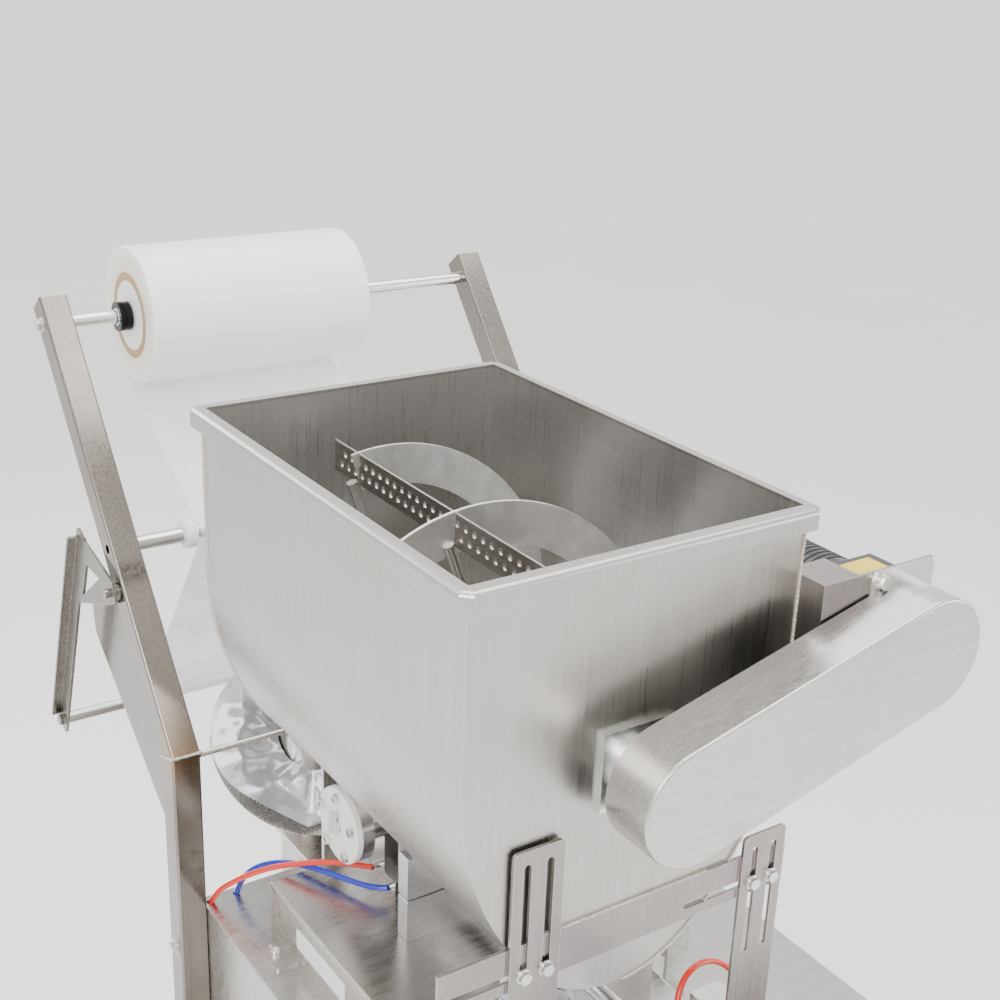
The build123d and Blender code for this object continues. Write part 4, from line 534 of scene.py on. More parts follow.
# %% Clear film
def clear_film(name, low_alpha, high_alpha, tone, metallic=0.0):
    """Stretched film: see-through, with streaks of haze along the way it runs."""
    material, tree, shader = blank(name)
    streaks = place_group(tree, grain_group, Stretch=(60, 6, 6), Bump=0.15)
    cloud = place_group(tree, cloud_group, Size=9.0, From=0.3, To=0.7)
    haze = mix_colour(tree, streaks, "Streak", tuple(c * 0.9 for c in tone), tone)
    opacity = ramp_value(tree, cloud, "Mask", low_alpha, high_alpha)
    wire(tree, haze, 2, shader, "Base Color")
    wire(tree, opacity, "Result", shader, "Alpha")
    wire(tree, streaks, "Normal", shader, "Normal")
    shader.inputs["Roughness"].default_value = 0.16
    shader.inputs["Metallic"].default_value = metallic
    shader.inputs["Coat Weight"].default_value = 0.5
    return material


web_film = clear_film("web_film", 0.50, 0.72, (0.90, 0.91, 0.92))
collar_film = clear_film("collar_film", 0.82, 0.95, (0.74, 0.75, 0.80), 0.55)
print("materials", len(bpy.data.materials))

# %% [markdown]
# ## Axle with blackened collars
# The bar through the reel is plain ground steel; the two collars clamped on it are blackened.
# Anything further from the axle's centre line than the bar's own radius is a collar.

# %% Axle steel
bar_limit = 0.0095
axle_steel, tree, shader, bare = steel(
    "axle_steel", (0.85, 0.84, 0.82), (0.70, 0.69, 0.67), (0.60, 0.56, 0.50), 0.16, crosswise, 0.03, 0.4)
radius = from_axle(tree)[1]
collar = add(tree, "ShaderNodeMath", operation="GREATER_THAN")
collar.inputs[1].default_value = bar_limit
tree.links.new(radius.outputs["Value"], collar.inputs[0])
blackened = mix_colour(tree, collar, 0, (bare, 2), (0.020, 0.020, 0.022))
wire(tree, blackened, 2, shader, "Base Color")
print("axle at", round(axle.y, 3), round(axle.z, 3))

# %% [markdown]
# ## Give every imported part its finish
# A CAD node keeps its mesh; only its material slot changes.  The table reads like a paint list.

# %% Paint list
finishes = {
    hopper_steel: ["hopper"],
    post_steel: ["reel_posts"],
    cut_plate: ["hopper_supports", "motor_bracket", "mechanism_plate"],
    strip_plate: ["scraper_strip"],
    ribbon_steel: ["ribbon_flight"],
    folded_panel: ["deck_plate", "side_panels", "raised_box", "service_door"],
    axle_steel: ["reel_axle"],
    ground_bar: ["guide_roller", "dancer_roller"],
    dark_angle: ["dancer_levers"],
    brushed_tube: ["forming_tube", "base_frame", "discharge_chute", "forming_collar"],
    turned_steel: ["discharge_pipe", "pump_cylinder", "valve_body", "valve_rotor", "agitator_shaft",
                   "pump_piston", "seal_frame", "motor_sprocket"],
    guard_steel: ["drive_guard"],
    satin_aluminium: ["pump_clamps", "drive_cylinder", "vertical_seal_bar", "rear_jaw", "front_jaw"],
    bright_zinc: ["air_unit", "shaft_bearings", "levelling_feet", "door_latch"],
    white_nylon: ["valve_flange", "roller_collars", "core_plugs"],
    black_housing: ["gearmotor", "valve_actuator", "control_unit", "main_switch"],
    film_white: ["film_roll"],
    card: ["film_core"],
    knife_steel: ["knife"],
    drive_rubber: ["pull_roller_left", "pull_roller_right"],
    grey_paint: ["control_box"],
    screen_glass: ["touch_screen"],
    start_green: ["start_button"],
    stop_red: ["stop_button"],
}
for finish, names in finishes.items():
    for name in names:
        nodes[name].data.materials.clear()
        nodes[name].data.materials.append(finish)
for piece, finish in ((red_hose, red_plastic), (blue_hose, blue_plastic), (front_hose, red_plastic)):
    piece.data.materials.append(finish)
print("painted", sum(len(names) for names in finishes.values()), "nodes")

# %% [markdown]
# ## Repeating pieces with Geometry Nodes
# Weld beads, chain links and motor fins are one small shape repeated along a path.  The tree
# turns a line of edges into a curve, cuts it into equal steps, puts the template on each step
# facing along the line, and makes it all real.  Jitter changes the size of each copy a little.

# %% Repeat along a path
def start_tree(name, inputs):
    """A tree with a geometry socket each way and named inputs: name -> (kind, default)."""
    tree = bpy.data.node_groups.new(name, "GeometryNodeTree")
    tree.interface.new_socket(name="Geometry", in_out="INPUT", socket_type="NodeSocketGeometry")
    tree.interface.new_socket(name="Geometry", in_out="OUTPUT", socket_type="NodeSocketGeometry")
    for label, (kind, default) in inputs.items():
        socket = tree.interface.new_socket(name=label, in_out="INPUT", socket_type=kind)
        if default is not None:
            socket.default_value = default
    return tree, tree.nodes.new("NodeGroupInput"), tree.nodes.new("NodeGroupOutput")


def finish_tree(tree, given, result, last):
    """Make the instances real and give them their material."""
    real = add(tree, "GeometryNodeRealizeInstances")
    finish = add(tree, "GeometryNodeSetMaterial")
    wire(tree, last, "Instances", real, "Geometry")
    wire(tree, real, "Geometry", finish, "Geometry")
    wire(tree, given, "Finish", finish, "Material")
    wire(tree, finish, "Geometry", result, "Geometry")


path_tree, given, result = start_tree("repeat_along_path", {
    "Template": ("NodeSocketObject", None),
    "Spacing": ("NodeSocketFloat", 0.01),
    "Jitter": ("NodeSocketFloat", 0.0),
    "Seed": ("NodeSocketInt", 1),
    "Finish": ("NodeSocketMaterial", None),
})
as_curve = add(path_tree, "GeometryNodeMeshToCurve")
steps = add(path_tree, "GeometryNodeCurveToPoints", mode="LENGTH")
along = add(path_tree, "FunctionNodeAlignRotationToVector", axis="X")
template = add(path_tree, "GeometryNodeObjectInfo")
low = add(path_tree, "ShaderNodeMath", operation="SUBTRACT")
low.inputs[0].default_value = 1.0
high = add(path_tree, "ShaderNodeMath", operation="ADD")
high.inputs[0].default_value = 1.0
size = add(path_tree, "FunctionNodeRandomValue", data_type="FLOAT")
copies = add(path_tree, "GeometryNodeInstanceOnPoints")
wire(path_tree, given, "Geometry", as_curve, "Mesh")
wire(path_tree, as_curve, "Curve", steps, "Curve")
wire(path_tree, given, "Spacing", steps, "Length")
wire(path_tree, steps, "Tangent", along, "Vector")
wire(path_tree, given, "Template", template, "Object")
wire(path_tree, given, "Jitter", low, 1)
wire(path_tree, given, "Jitter", high, 1)
float_in = [s for s in size.inputs if s.type == "VALUE"]
path_tree.links.new(low.outputs[0], float_in[0])
path_tree.links.new(high.outputs[0], float_in[1])
wire(path_tree, given, "Seed", size, "Seed")
float_out = next(s for s in size.outputs if s.type == "VALUE")
wire(path_tree, steps, "Points", copies, "Points")
wire(path_tree, template, "Geometry", copies, "Instance")
wire(path_tree, along, "Rotation", copies, "Rotation")
path_tree.links.new(float_out, copies.inputs["Scale"])
finish_tree(path_tree, given, result, copies)
print("path tree", len(path_tree.nodes), "nodes")

# %% [markdown]
# The second tree puts a template on loose points, each turned so that its +Z looks along the
# point's own *facing* vector.  Bolts use it, because each one faces out of its own sheet.

# %% Stand on points
point_tree, given, result = start_tree("stand_on_points", {
    "Template": ("NodeSocketObject", None),
    "Size": ("NodeSocketFloat", 1.0),
    "Finish": ("NodeSocketMaterial", None),
})
facing = add(point_tree, "GeometryNodeInputNamedAttribute", data_type="FLOAT_VECTOR", Name="facing")
upright = add(point_tree, "FunctionNodeAlignRotationToVector", axis="Z")
template = add(point_tree, "GeometryNodeObjectInfo")
copies = add(point_tree, "GeometryNodeInstanceOnPoints")
wire(point_tree, given, "Geometry", copies, "Points")
wire(point_tree, given, "Template", template, "Object")
wire(point_tree, template, "Geometry", copies, "Instance")
wire(point_tree, facing, "Attribute", upright, "Vector")
wire(point_tree, upright, "Rotation", copies, "Rotation")
wire(point_tree, given, "Size", copies, "Scale")
finish_tree(point_tree, given, result, copies)
print("point tree", len(point_tree.nodes), "nodes")


# %% Run a tree and keep its mesh
def show(name, mesh):
    piece = bpy.data.objects.new(name, mesh)
    bpy.context.scene.collection.objects.link(piece)
    return piece


def grow(name, base, tree, body, slot, **values):
    """Evaluate a tree on a base mesh once, keep the result as a plain mesh on a body."""
    source = show(name + "_base", base)
    modifier = source.modifiers.new("grow", "NODES")
    modifier.node_group = tree
    for item in tree.interface.items_tree:
        if item.item_type == "SOCKET" and item.in_out == "INPUT" and item.name in values:
            modifier[item.identifier] = values[item.name]
    depsgraph = bpy.context.evaluated_depsgraph_get()
    mesh = bpy.data.meshes.new_from_object(source.evaluated_get(depsgraph), depsgraph=depsgraph)
    source.modifiers.remove(modifier)
    bpy.data.objects.remove(source)
    piece = show(name, mesh)
    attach(piece, body)
    print(name, len(mesh.polygons), "faces")
    return piece


def line_mesh(name, runs, closed=False):
    """Loose polylines as a mesh of edges."""
    points = [point for run in runs for point in run]
    edges = []
    first = 0
    for run in runs:
        edges += [(first + i, first + i + 1) for i in range(len(run) - 1)]
        if closed:
            edges.append((first + len(run) - 1, first))
        first += len(run)
    mesh = bpy.data.meshes.new(name)
    mesh.from_pydata([tuple(p) for p in points], edges, [])
    return mesh


def point_mesh(name, spots):
    """Loose points, each with a facing vector."""
    mesh = bpy.data.meshes.new(name)
    mesh.from_pydata([tuple(place) for place, _ in spots], [], [])
    attribute = mesh.attributes.new("facing", "FLOAT_VECTOR", "POINT")
    for item, (_, direction) in zip(attribute.data, spots):
        item.vector = direction
    return mesh


# %% [markdown]
# ## Small templates
# A turned or forged shape is a profile spun round Z; a hexagon is the same profile with six sides
# under a round chamfer.  They are made with bmesh and removed again at the end.

# %% Templates
def mesh_from(name, build, smooth=True):
    """A template object: build fills a bmesh."""
    shape = bmesh.new()
    build(shape)
    bmesh.ops.remove_doubles(shape, verts=shape.verts, dist=1e-6)
    bmesh.ops.recalc_face_normals(shape, faces=shape.faces)
    mesh = bpy.data.meshes.new(name)
    shape.to_mesh(mesh)
    shape.free()
    for face in mesh.polygons:
        face.use_smooth = smooth
    return show(name, mesh)


def lathe(shape, profile, sides):
    """Closed rings from (radius, height) pairs; ends are capped."""
    rings = []
    for radius, height in profile:
        ring = []
        for i in range(sides):
            turn = 2 * math.pi * i / sides
            ring.append(shape.verts.new((radius * math.cos(turn), radius * math.sin(turn), height)))
        rings.append(ring)
    for lower, upper in zip(rings, rings[1:]):
        for i in range(sides):
            j = (i + 1) % sides
            shape.faces.new((lower[i], lower[j], upper[j], upper[i]))
    shape.faces.new(rings[0][::-1])
    shape.faces.new(rings[-1])


def hex_bolt_shape(shape):
    """Unit bolt: 10 mm across flats, washer, spring washer, chamfered head."""
    corner = 0.005 / math.cos(math.pi / 6)
    lathe(shape, [(0.0065, 0), (0.0065, 0.0009), (0.0063, 0.0010)], 28)
    lathe(shape, [(0.0050, 0.0010), (0.0052, 0.0012), (0.0052, 0.0021), (0.0050, 0.0023)], 24)
    lathe(shape, [(corner * 0.94, 0.0023), (corner, 0.0027), (corner, 0.0050), (corner * 0.93, 0.0055)], 6)


def socket_screw_shape(shape):
    """Unit cap screw: 10 mm head with a round socket."""
    lathe(shape, [(0.0048, 0), (0.005, 0.0003), (0.005, 0.0044), (0.0046, 0.0048), (0.0029, 0.0048)], 24)
    for face in [f for f in shape.faces if len(f.verts) == 24 and f.calc_center_median().z > 0.004]:
        result = bmesh.ops.inset_region(shape, faces=[face], thickness=0.0002)
        bmesh.ops.translate(shape, verts=face.verts, vec=(0, 0, -0.0026))


def bead_shape(shape):
    """One ripple of a weld: a flattened ball that leans on the next one."""
    bmesh.ops.create_icosphere(shape, subdivisions=2, radius=1.0)
    bmesh.ops.scale(shape, verts=shape.verts, vec=(0.0016, 0.0026, 0.0014))


def link_shape(shape):
    """One outer and one inner link of a 6 mm roller chain, along X, with their rollers."""
    pitch, plate = 0.0127, 0.0007
    sideways = Matrix.Rotation(math.pi / 2, 4, "X")
    for start, gap in ((0.0, 0.0027), (pitch, 0.0018)):
        for side in (-1, 1):
            for end in (0, pitch):
                pin = Matrix.Translation((start + end, side * gap, 0)) @ sideways
                bmesh.ops.create_cone(shape, cap_ends=True, segments=10, radius1=0.0033, radius2=0.0033,
                                      depth=plate, matrix=pin)
            middle = Matrix.Translation((start + pitch / 2, side * gap, 0))
            bmesh.ops.create_cube(shape, size=1.0, matrix=middle @ Matrix.Diagonal((pitch, plate, 0.0046, 1)))
        roller = Matrix.Translation((start, 0, 0)) @ sideways
        bmesh.ops.create_cone(shape, cap_ends=True, segments=10, radius1=0.0026, radius2=0.0026,
                              depth=0.0058, matrix=roller)


hex_bolt = mesh_from("template_hex_bolt", hex_bolt_shape, False)
socket_screw = mesh_from("template_socket_screw", socket_screw_shape, False)
bead = mesh_from("template_bead", bead_shape)
link = mesh_from("template_link", link_shape, False)
templates = [hex_bolt, socket_screw, bead, link]

# %% [markdown]
# ## Bolts and screws
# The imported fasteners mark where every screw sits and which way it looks.  Each loose island of
# that node gives a base centre, a facing direction and a radius; a washer under the head makes
# the base wider than the top, and that tells the two ends apart.

# %% Fastener spots
merge_distance = 2e-5
cap_reach, bolt_reach = 0.0055, 0.007


def islands(node):
    """Vertex groups of a CAD node that hang together, from a merged copy."""
    shape = bmesh.new()
    shape.from_mesh(nodes[node].data)
    bmesh.ops.remove_doubles(shape, verts=shape.verts, dist=merge_distance)
    todo = set(shape.verts)
    found = []
    for start in shape.verts:
        if start not in todo:
            continue
        todo.remove(start)
        front = [start]
        island = [start]
        while front:
            near = [e.other_vert(v) for v in front for e in v.link_edges]
            front = [v for v in dict.fromkeys(near) if v in todo]
            todo.difference_update(front)
            island += front
        found.append(np.array([v.co for v in island]))
    shape.free()
    return found


def fastener_spot(points):
    """(base centre, facing, base radius) of one screw head."""
    low, high = points.min(0), points.max(0)
    axis = int(np.argmin(high - low))
    across = [i for i in range(3) if i != axis]
    middle = (low + high) / 2
    reach = np.hypot(points[:, across[0]] - middle[across[0]], points[:, across[1]] - middle[across[1]])
    at_low = points[:, axis] < low[axis] + merge_distance
    at_high = points[:, axis] > high[axis] - merge_distance
    sign = 1 if reach[at_low].mean() > reach[at_high].mean() else -1
    facing = Vector((0, 0, 0))
    facing[axis] = sign
    base = Vector(middle)
    base[axis] = low[axis] if sign > 0 else high[axis]
    return base, facing, float(reach.max())


spots = sorted((fastener_spot(points) for points in islands("fasteners")), key=lambda s: tuple(s[0]))
small_hex = [(base, way) for base, way, radius in spots if cap_reach < radius < bolt_reach]
large_hex = [(base, way) for base, way, radius in spots if radius >= bolt_reach]
caps = [(base, way) for base, way, radius in spots if radius <= cap_reach]
for name, places, head, size in (("bracket_bolts", small_hex, hex_bolt, 1.0),
                                 ("stand_bolts", large_hex, hex_bolt, 1.23),
                                 ("cap_screws", caps, socket_screw, 1.0)):
    bolts = grow(name, point_mesh(name, places), point_tree, "machine", "zinc_screw",
                 Template=head, Size=size, Finish=bright_zinc)
    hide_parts("fasteners")
print("hex", len(small_hex) + len(large_hex), "cap", len(caps))

# %% [markdown]
# ## Weld beads
# The trough's end walls, its supports and the knees of the posts are welded.  A bead is a row of
# overlapping ripples, so it is one flattened ball repeated every two millimetres.

# %% Weld beads
side_radius = 0.275
side_turn = math.radians(46)
straight_wall = 0.160


def trough_outline(top_z, steps=14):
    """Points of the trough's section, from one rim down and up to the other."""
    turn = side_turn
    arc_z = hopper_high.z - straight_wall
    side_centre = trough_half - side_radius
    end_x, end_z = side_centre + side_radius * math.cos(turn), arc_z - side_radius * math.sin(turn)
    bottom_radius = end_x / math.cos(turn)
    bottom_centre = end_z + bottom_radius * math.sin(turn)
    right_side = [(trough_half, top_z)]
    for i in range(steps + 1):
        angle = turn * i / steps
        right_side.append((side_centre + side_radius * math.cos(angle),
                           arc_z - side_radius * math.sin(angle)))
    for i in range(1, steps + 1):
        angle = turn + (math.pi / 2 - turn) * i / steps
        right_side.append((bottom_radius * math.cos(angle),
                           bottom_centre - bottom_radius * math.sin(angle)))
    left_side = [(-x, z) for x, z in right_side[-2::-1]]
    return [(trough_x + x, z) for x, z in right_side + left_side]


outline = trough_outline(hopper_high.z - rim_depth)
front_seam = [Vector((x, trough_front, z)) for x, z in outline if x > trough_x]
back_seam = [Vector((x, trough_back, z)) for x, z in outline]
plate_top = 1.193
half_seam = 0.085
proud = 0.0005
plate_seams = [[Vector((trough_x + side * half_seam, face, plate_top)) for side in (-1, 1)]
               for face in (trough_front - proud, trough_back + proud)]
grow("trough_welds", line_mesh("trough_welds", [front_seam, back_seam] + plate_seams), path_tree,
     "machine", "brushed_steel", Template=bead, Spacing=0.0019, Jitter=0.18, Seed=4, Finish=weld_steel)

post_x = 0.2605
arm_tilt = math.atan2(axle.z - knee_z, axle.y - post_y)
mitre = math.tan((math.pi / 2 - arm_tilt) / 2) * half_post


def knee_ring(side):
    """The mitred joint of one post: a tilted square."""
    corners = []
    for across, along in ((-1, -1), (1, -1), (1, 1), (-1, 1)):
        corners.append(Vector((side * post_x + across * half_post, post_y + along * half_post,
                               knee_z - along * mitre)))
    return corners


grow("knee_welds", line_mesh("knee_welds", [knee_ring(-1), knee_ring(1)], closed=True), path_tree,
     "machine", "brushed_steel", Template=bead, Spacing=0.0021, Jitter=0.2, Seed=9, Finish=weld_steel)

# %% [markdown]
# ## Drive chain
# Inside the guard a roller chain joins the motor's sprocket to the agitator's.  The run is two
# straight lines and two half circles round the sprockets, and the link repeats at twice its pitch.

# %% Drive chain
chain_low, chain_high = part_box("drive_chain")
motor_low, motor_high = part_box("motor_sprocket")
sprocket_radius = (motor_high.z - motor_low.z) / 2
motor_axis = Vector(((motor_low.x + motor_high.x) / 2, 0, (motor_low.z + motor_high.z) / 2))
shaft_axis = Vector((trough_x, 0, shaft_z))
chain_y = (chain_low.y + chain_high.y) / 2
chain_reach = sprocket_radius + 0.004
direction = (motor_axis - shaft_axis).normalized()
normal = Vector((-direction.z, 0, direction.x))
chain_run = []
for centre, start in ((motor_axis, math.pi / 2), (shaft_axis, 3 * math.pi / 2)):
    for i in range(25):
        angle = start - math.pi * i / 24
        offset = direction * (chain_reach * math.cos(angle))
        chain_run.append(centre + offset + normal * (chain_reach * math.sin(angle)) + Vector((0, chain_y, 0)))
run_length = sum((b - a).length for a, b in zip(chain_run, chain_run[1:] + chain_run[:1]))
double_pitch = 0.0254
link_count = math.ceil(run_length / double_pitch)
# A closed run gets one link more than the whole steps that fit, so the step is set for one fewer,
# and a hair short of that, so that rounding never drops a link.
link_step = run_length / (link_count - 1 + 0.01)
chain = grow("roller_chain", line_mesh("roller_chain", [chain_run], closed=True), path_tree, "machine",
             "zinc_screw", Template=link, Spacing=link_step, Jitter=0.0, Finish=chain_steel)
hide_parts("drive_chain")
print("chain", round(run_length, 3), "m,", link_count, "double links")

# %% [markdown]
# ## Cooling fins
# The motor behind the gearbox is a round finned casting.  A thin ring repeated along the motor's
# axis gives the fins; the template faces along X, like every template of the path tree.

# %% Motor fins
motor_box_low, motor_box_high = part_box("gearmotor")
fin_radius = (motor_box_high.z - motor_box_low.z) / 2
gearbox_length = 0.062


def fin_shape(shape):
    """A thin disc with a bevelled rim, its axis along X."""
    root, bevel = fin_radius - 0.004, fin_radius - 0.0004
    lathe(shape, [(root, -0.0012), (bevel, -0.0009), (fin_radius, -0.0004),
                  (fin_radius, 0.0004), (bevel, 0.0009), (root, 0.0012)], 48)
    bmesh.ops.rotate(shape, verts=shape.verts, matrix=Matrix.Rotation(math.pi / 2, 3, "Y"))


fin = mesh_from("template_fin", fin_shape, False)
templates.append(fin)
fin_start = Vector((motor_axis.x, motor_box_low.y + gearbox_length + 0.012, motor_axis.z))
fin_end = Vector((motor_axis.x, motor_box_high.y - 0.014, motor_axis.z))
grow("motor_fins", line_mesh("motor_fins", [[fin_start, fin_end]]), path_tree, "machine", "black_motor",
     Template=fin, Spacing=0.0062, Jitter=0.0, Finish=black_housing)


# %% [markdown]
# ## Blank plates
# The deck box carries a silver plate and the gearbox a yellow one.  Both are left blank: each is a
# thin rounded slab.  The screen's dark bezel is a slab too.

# %% Blank plates
def slab(name, centre, size, normal_axis, corner, body, finish):
    """A thin plate with rounded corners; size is its two lengths across and its thickness."""
    shape = bmesh.new()
    wide, tall, thick = size
    ring = []
    for cx, cy, start in ((1, 1, 0), (-1, 1, 90), (-1, -1, 180), (1, -1, 270)):
        for i in range(6):
            angle = math.radians(start + 90 * i / 5)
            ring.append((cx * (wide / 2 - corner) + corner * math.cos(angle),
                         cy * (tall / 2 - corner) + corner * math.sin(angle)))
    levels = []
    for height, shrink in ((0, 1.0), (thick * 0.7, 1.0), (thick, 0.985)):
        levels.append([shape.verts.new((x * shrink, y * shrink, height)) for x, y in ring])
    for lower, upper in zip(levels, levels[1:]):
        for i in range(len(ring)):
            j = (i + 1) % len(ring)
            shape.faces.new((lower[i], lower[j], upper[j], upper[i]))
    shape.faces.new(levels[0][::-1])
    shape.faces.new(levels[-1])
    turn = Vector((0, 0, 1)).rotation_difference(Vector(normal_axis)).to_matrix().to_4x4()
    if abs(normal_axis[0]) > 0.5:
        turn = Matrix(((0, 0, normal_axis[0], 0), (-normal_axis[0], 0, 0, 0), (0, 1, 0, 0), (0, 0, 0, 1)))
    bmesh.ops.transform(shape, matrix=Matrix.Translation(centre) @ turn, verts=shape.verts)
    bmesh.ops.recalc_face_normals(shape, faces=shape.faces)
    mesh = bpy.data.meshes.new(name)
    shape.to_mesh(mesh)
    shape.free()
    mesh.materials.append(finish)
    piece = show(name, mesh)
    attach(piece, body)
    return piece


raised_left = -0.2045
slab("box_plate", Vector((raised_left, -0.0585, 0.981)), (0.099, 0.022, 0.0008), (-1, 0, 0), 0.003, "machine",
     label_silver)
slab("motor_plate", Vector((motor_axis.x + 0.010, motor_box_low.y + 0.031, motor_box_high.z)),
     (0.035, 0.050, 0.0006), (0, 0, 1), 0.002, "machine", label_yellow)
screen_low, screen_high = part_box("touch_screen")
screen_centre = (screen_low + screen_high) / 2
slab("screen_bezel", Vector((screen_centre.x, screen_high.y - 0.0045, screen_centre.z)),
     (0.112, 0.080, 0.004), (0, 1, 0), 0.004, "machine", black_housing)
print("plates made")

# %% [markdown]
# ## Film web
# The film leaves the roll, bends over the guide roller, hangs to the dancer bar and climbs to the
# forming collar.  It is one long sheet; it is made here in three, because the middle of it moves
# with the dancer.  Each piece follows a path in the YZ plane, with shallow troughs that run along
# it, as a web under tension has.

# %% Film path
guide_low, guide_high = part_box("guide_roller")
dancer_low, dancer_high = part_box("dancer_roller")
guide_axis = (guide_low + guide_high) / 2
dancer_axis = (dancer_low + dancer_high) / 2
web_left, web_right = roll_low.x + 0.002, roll_high.x - 0.002
web_width = web_right - web_left
film_gap = 0.0007
guide_reach = 0.008 + film_gap
dancer_reach = (dancer_high.z - dancer_low.z) / 2 + film_gap


def flat(vector):
    return (vector.y, vector.z)


def tangent(first, first_reach, second, second_reach):
    """Both ends of the straight run between two circles; a positive reach has its centre left."""
    dy, dz = second[0] - first[0], second[1] - first[1]
    lean = (first_reach - second_reach) / math.hypot(dy, dz)
    angle = math.atan2(dz, dy) + math.pi / 2 + math.asin(lean)
    return [(c[0] - r * math.cos(angle), c[1] - r * math.sin(angle))
            for c, r in ((first, first_reach), (second, second_reach))]


def wrap(centre, start, end, steps=8):
    """Points on the shorter arc from start to end round a centre."""
    from_angle = math.atan2(start[1] - centre[1], start[0] - centre[0])
    to_angle = math.atan2(end[1] - centre[1], end[0] - centre[0])
    sweep = (to_angle - from_angle + math.pi) % (2 * math.pi) - math.pi
    reach = math.dist(start, centre)
    return [(centre[0] + reach * math.cos(from_angle + sweep * i / steps),
             centre[1] + reach * math.sin(from_angle + sweep * i / steps)) for i in range(1, steps)]


crown = (0.3564, 1.1054)
off_roll = tangent(flat(axle), -(roll_radius + film_gap), flat(guide_axis), guide_reach)
off_guide = tangent(flat(guide_axis), guide_reach, flat(dancer_axis), -dancer_reach)
off_dancer = tangent(flat(dancer_axis), -dancer_reach, crown, 0.0)
dancer_wrap = wrap(flat(dancer_axis), off_guide[1], off_dancer[0])
half_wrap = len(dancer_wrap) // 2
print("film leaves the roll at", [round(x, 3) for x in off_roll[0]])


# %% Film sheets
def resample(path, step):
    """Points at even steps along a polyline, its corners kept."""
    points = [path[0]]
    for a, b in zip(path, path[1:]):
        count = max(1, round(math.dist(a, b) / step))
        points += [(a[0] + (b[0] - a[0]) * i / count, a[1] + (b[1] - a[1]) * i / count)
                   for i in range(1, count + 1)]
    return points


def web_sheet(name, path, node, ripple, seed, material=web_film):
    """A sheet along a path; ripples run along the film and die out at both rollers."""
    points = resample(path, 0.006)
    total = sum(math.dist(a, b) for a, b in zip(points, points[1:]))
    columns = 64
    vertices, faces = [], []
    travelled = 0.0
    for row, (y, z) in enumerate(points):
        if row:
            travelled += math.dist(points[row - 1], points[row])
        ahead = points[min(row + 1, len(points) - 1)]
        behind = points[max(row - 1, 0)]
        run = Vector((0, ahead[0] - behind[0], ahead[1] - behind[1])).normalized()
        out = Vector((1, 0, 0)).cross(run)
        calm = math.sin(math.pi * min(1, max(0, travelled / total))) ** 0.7
        for column in range(columns + 1):
            x = web_left + web_width * column / columns
            wave = noise.noise(Vector((x * 22 + seed, travelled * 1.6, seed)))
            wave += 0.45 * noise.noise(Vector((x * 60, travelled * 3 + seed, seed)))
            vertices.append(Vector((x, y, z)) + out * (ripple * calm * wave))
    for row in range(len(points) - 1):
        for column in range(columns):
            a = row * (columns + 1) + column
            faces.append((a, a + 1, a + columns + 2, a + columns + 1))
    mesh = bpy.data.meshes.new(name)
    mesh.from_pydata(vertices, [], faces)
    mesh.materials.append(material)
    for face in mesh.polygons:
        face.use_smooth = True
    piece = show(name, mesh)
    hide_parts(node)
    print(name, "flat", round(web_width, 3), "x", round(total, 3), "m")
    return piece


upper_web = web_sheet("film_web_top", off_roll, "film_web_upper", 0.0012, 3.1)
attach(upper_web, "machine")
guide_wrap = wrap(flat(guide_axis), off_roll[1], off_guide[0])
middle_path = [off_roll[1]] + guide_wrap + off_guide + dancer_wrap[:half_wrap + 1]
middle_web = web_sheet("film_web_middle", middle_path, "film_web_lower", 0.0022, 7.7)
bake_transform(middle_web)
last_web = web_sheet("film_web_last", dancer_wrap[half_wrap:] + off_dancer, "film_web_lower", 0.0022, 5.2)
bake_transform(last_web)

# %% [markdown]
# ## Film on the forming collar
# The collar folds flat film into a tube.  Its shoulder leans back at 38 degrees, and the film lies
# on it and is drawn into the gap round the tube.  Creases run towards the neck, where the film
# gathers: they are a sum of waves in the angle, sharper and deeper near the middle of the slope.

# %% Collar film
tube_x = (web_left + web_right) / 2
tube_y = 0.265
wing_z = 1.022
wing_tilt = math.radians(38)
slope = Vector((0, math.cos(wing_tilt), math.sin(wing_tilt)))
wing_up = Vector((0, -math.sin(wing_tilt), math.cos(wing_tilt)))
neck = 0.0385
reach_out = 0.114
front_limit = 0.082
creases = [(5, 0.4, 0.0030), (9, 2.1, 0.0016), (15, 4.4, 0.0009), (27, 0.9, 0.0004)]


def collar_point(angle, along):
    """A point of the film: along runs from 0 at the neck to 1 at the outer edge of the shoulder."""
    squareness = 1.0 + 0.06 * math.cos(4 * angle)
    radius = neck + 0.0006 + (reach_out * squareness - neck) * along
    cut = radius * math.sin(angle) * math.cos(wing_tilt)
    if cut < -front_limit:
        radius *= -front_limit / cut
    depth = math.sin(math.pi * min(1.0, along * 0.9 + 0.05))
    lift = sum(height * abs(math.sin(count * angle / 2 + phase + 1.5 * along)) ** 2.2
               for count, phase, height in creases)
    lift += 0.002 * noise.noise(Vector((math.cos(angle) * 3, math.sin(angle) * 3, along * 4)))
    rise = 0.0012 + 0.008 * along + 0.0022 * depth + lift * (0.35 + depth)
    centre = Vector((tube_x, tube_y, wing_z))
    sideways = Vector((1, 0, 0)) * (radius * math.cos(angle))
    return centre + sideways + slope * (radius * math.sin(angle)) + wing_up * rise


around, outward = 220, 26
vertices = [collar_point(2 * math.pi * i / around, j / outward)
            for j in range(outward + 1) for i in range(around)]
faces = []
for j in range(outward):
    for i in range(around):
        k = (i + 1) % around
        faces.append((j * around + i, j * around + k, (j + 1) * around + k, (j + 1) * around + i))
mesh = bpy.data.meshes.new("collar_film")
mesh.from_pydata(vertices, [], faces)
mesh.materials.append(collar_film)
for face in mesh.polygons:
    face.use_smooth = True
on_collar = show("film_on_collar", mesh)
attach(on_collar, "machine")

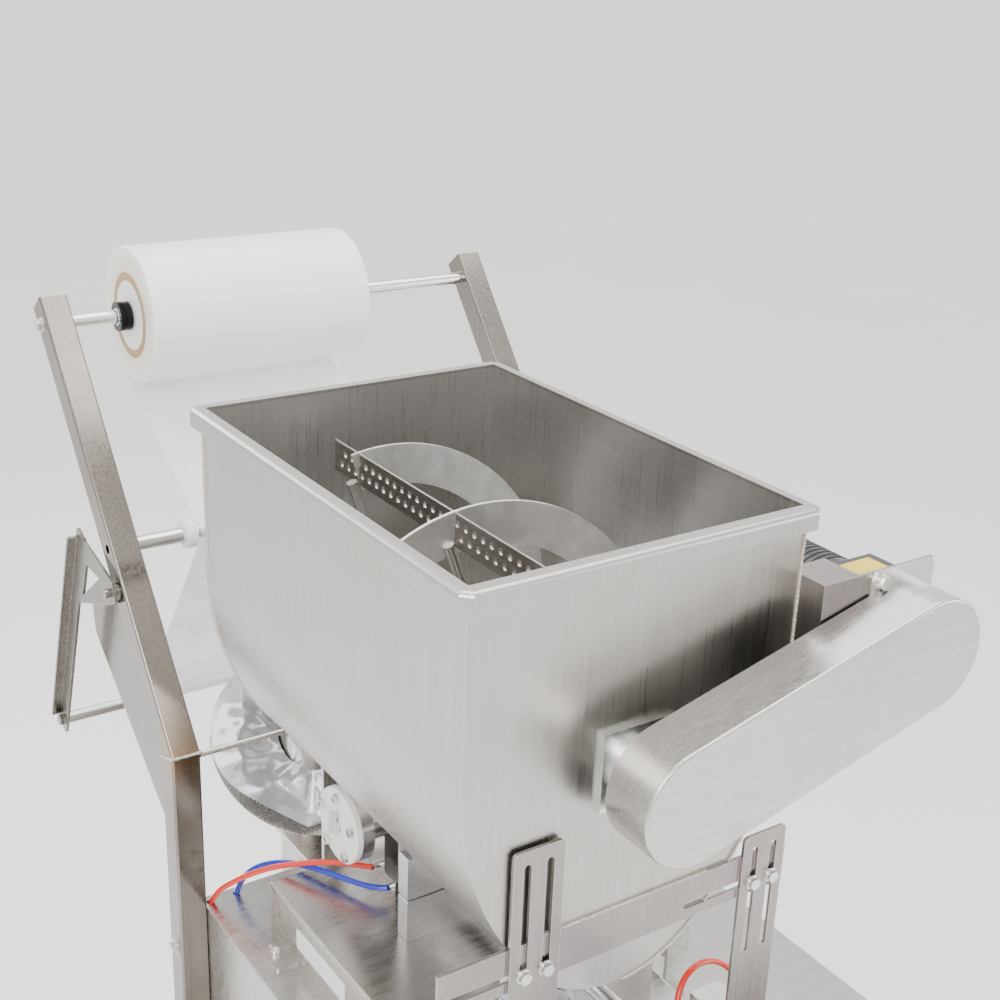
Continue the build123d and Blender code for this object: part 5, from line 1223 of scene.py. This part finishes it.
# %% [markdown]
# ## Clear up, stage and light
# Templates are not part of the machine, so they go.  A wide pale floor and large soft lamps make
# the studio; the world is pale above and greyer near the ground, which is what gives the steel
# its slow gradients.

# %% Clear up
for spare in templates:
    bpy.data.objects.remove(spare)

# %% Floor
floor_mesh = bpy.data.meshes.new("floor")
half = 60.0
floor_mesh.from_pydata([(-half, -half, 0), (half, -half, 0), (half, half, 0), (-half, half, 0)], [],
                       [(0, 1, 2, 3)])
floor = show("floor", floor_mesh)
floor_paint, tree, shader = blank("floor_paint")
soft = place_group(tree, cloud_group, Size=0.8)
tone = mix_colour(tree, soft, "Mask", (0.92, 0.92, 0.92), (0.95, 0.95, 0.95))
wire(tree, tone, 2, shader, "Base Color")
shader.inputs["Roughness"].default_value = 0.8
floor_mesh.materials.append(floor_paint)

# %% World and lamps
world = bpy.data.worlds.new("studio")
bpy.context.scene.world = world
world.use_nodes = True
sky = world.node_tree
background = next(node for node in sky.nodes if node.type == "BACKGROUND")
direction = add(sky, "ShaderNodeTexCoord")
height = add(sky, "ShaderNodeSeparateXYZ")
gradient = add(sky, "ShaderNodeValToRGB")
for element, position, grey in zip(gradient.color_ramp.elements, (0.38, 0.50),
                                   ((0.30, 0.28, 0.26, 1), (1.0, 1.0, 1.0, 1))):
    element.position = position
    element.color = grey
raise_up = add(sky, "ShaderNodeMapRange")
raise_up.inputs["From Min"].default_value = -1.0
wire(sky, direction, "Generated", height, "Vector")
wire(sky, height, "Z", raise_up, "Value")
wire(sky, raise_up, "Result", gradient, "Fac")
wire(sky, gradient, "Color", background, "Color")
background.inputs["Strength"].default_value = 1.6


def lamp(name, place, target, size, power):
    data = bpy.data.lights.new(name, "AREA")
    data.shape = "RECTANGLE"
    data.size, data.size_y = size
    data.energy = power
    light = bpy.data.objects.new(name, data)
    bpy.context.scene.collection.objects.link(light)
    aim = (Vector(target) - Vector(place)).to_track_quat("-Z", "Y")
    light.matrix_world = Matrix.Translation(place) @ aim.to_matrix().to_4x4()


middle = (0, 0, 1.2)
lamp("key", (-2.2, -1.8, 3.2), middle, (1.8, 1.8), 75)
lamp("top", (0.4, 0.2, 3.6), middle, (2.4, 2.4), 60)
lamp("fill", (2.6, -2.2, 1.8), middle, (1.6, 1.6), 30)
lamp("back", (-0.8, 3.0, 2.6), middle, (2.0, 1.2), 40)

# %% Hoses hidden and shown again
# The hoses are still curves; they are hidden from the render, the view layer is updated, and
# they are shown again.  The hoses are still curves, whose box is measured far too large, so
# they sit out of the second measure.  They lie well inside the machine.
curves = (red_hose, blue_hose, front_hose)
for curve in curves:
    curve.hide_render = True
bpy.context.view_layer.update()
for curve in curves:
    curve.hide_render = False
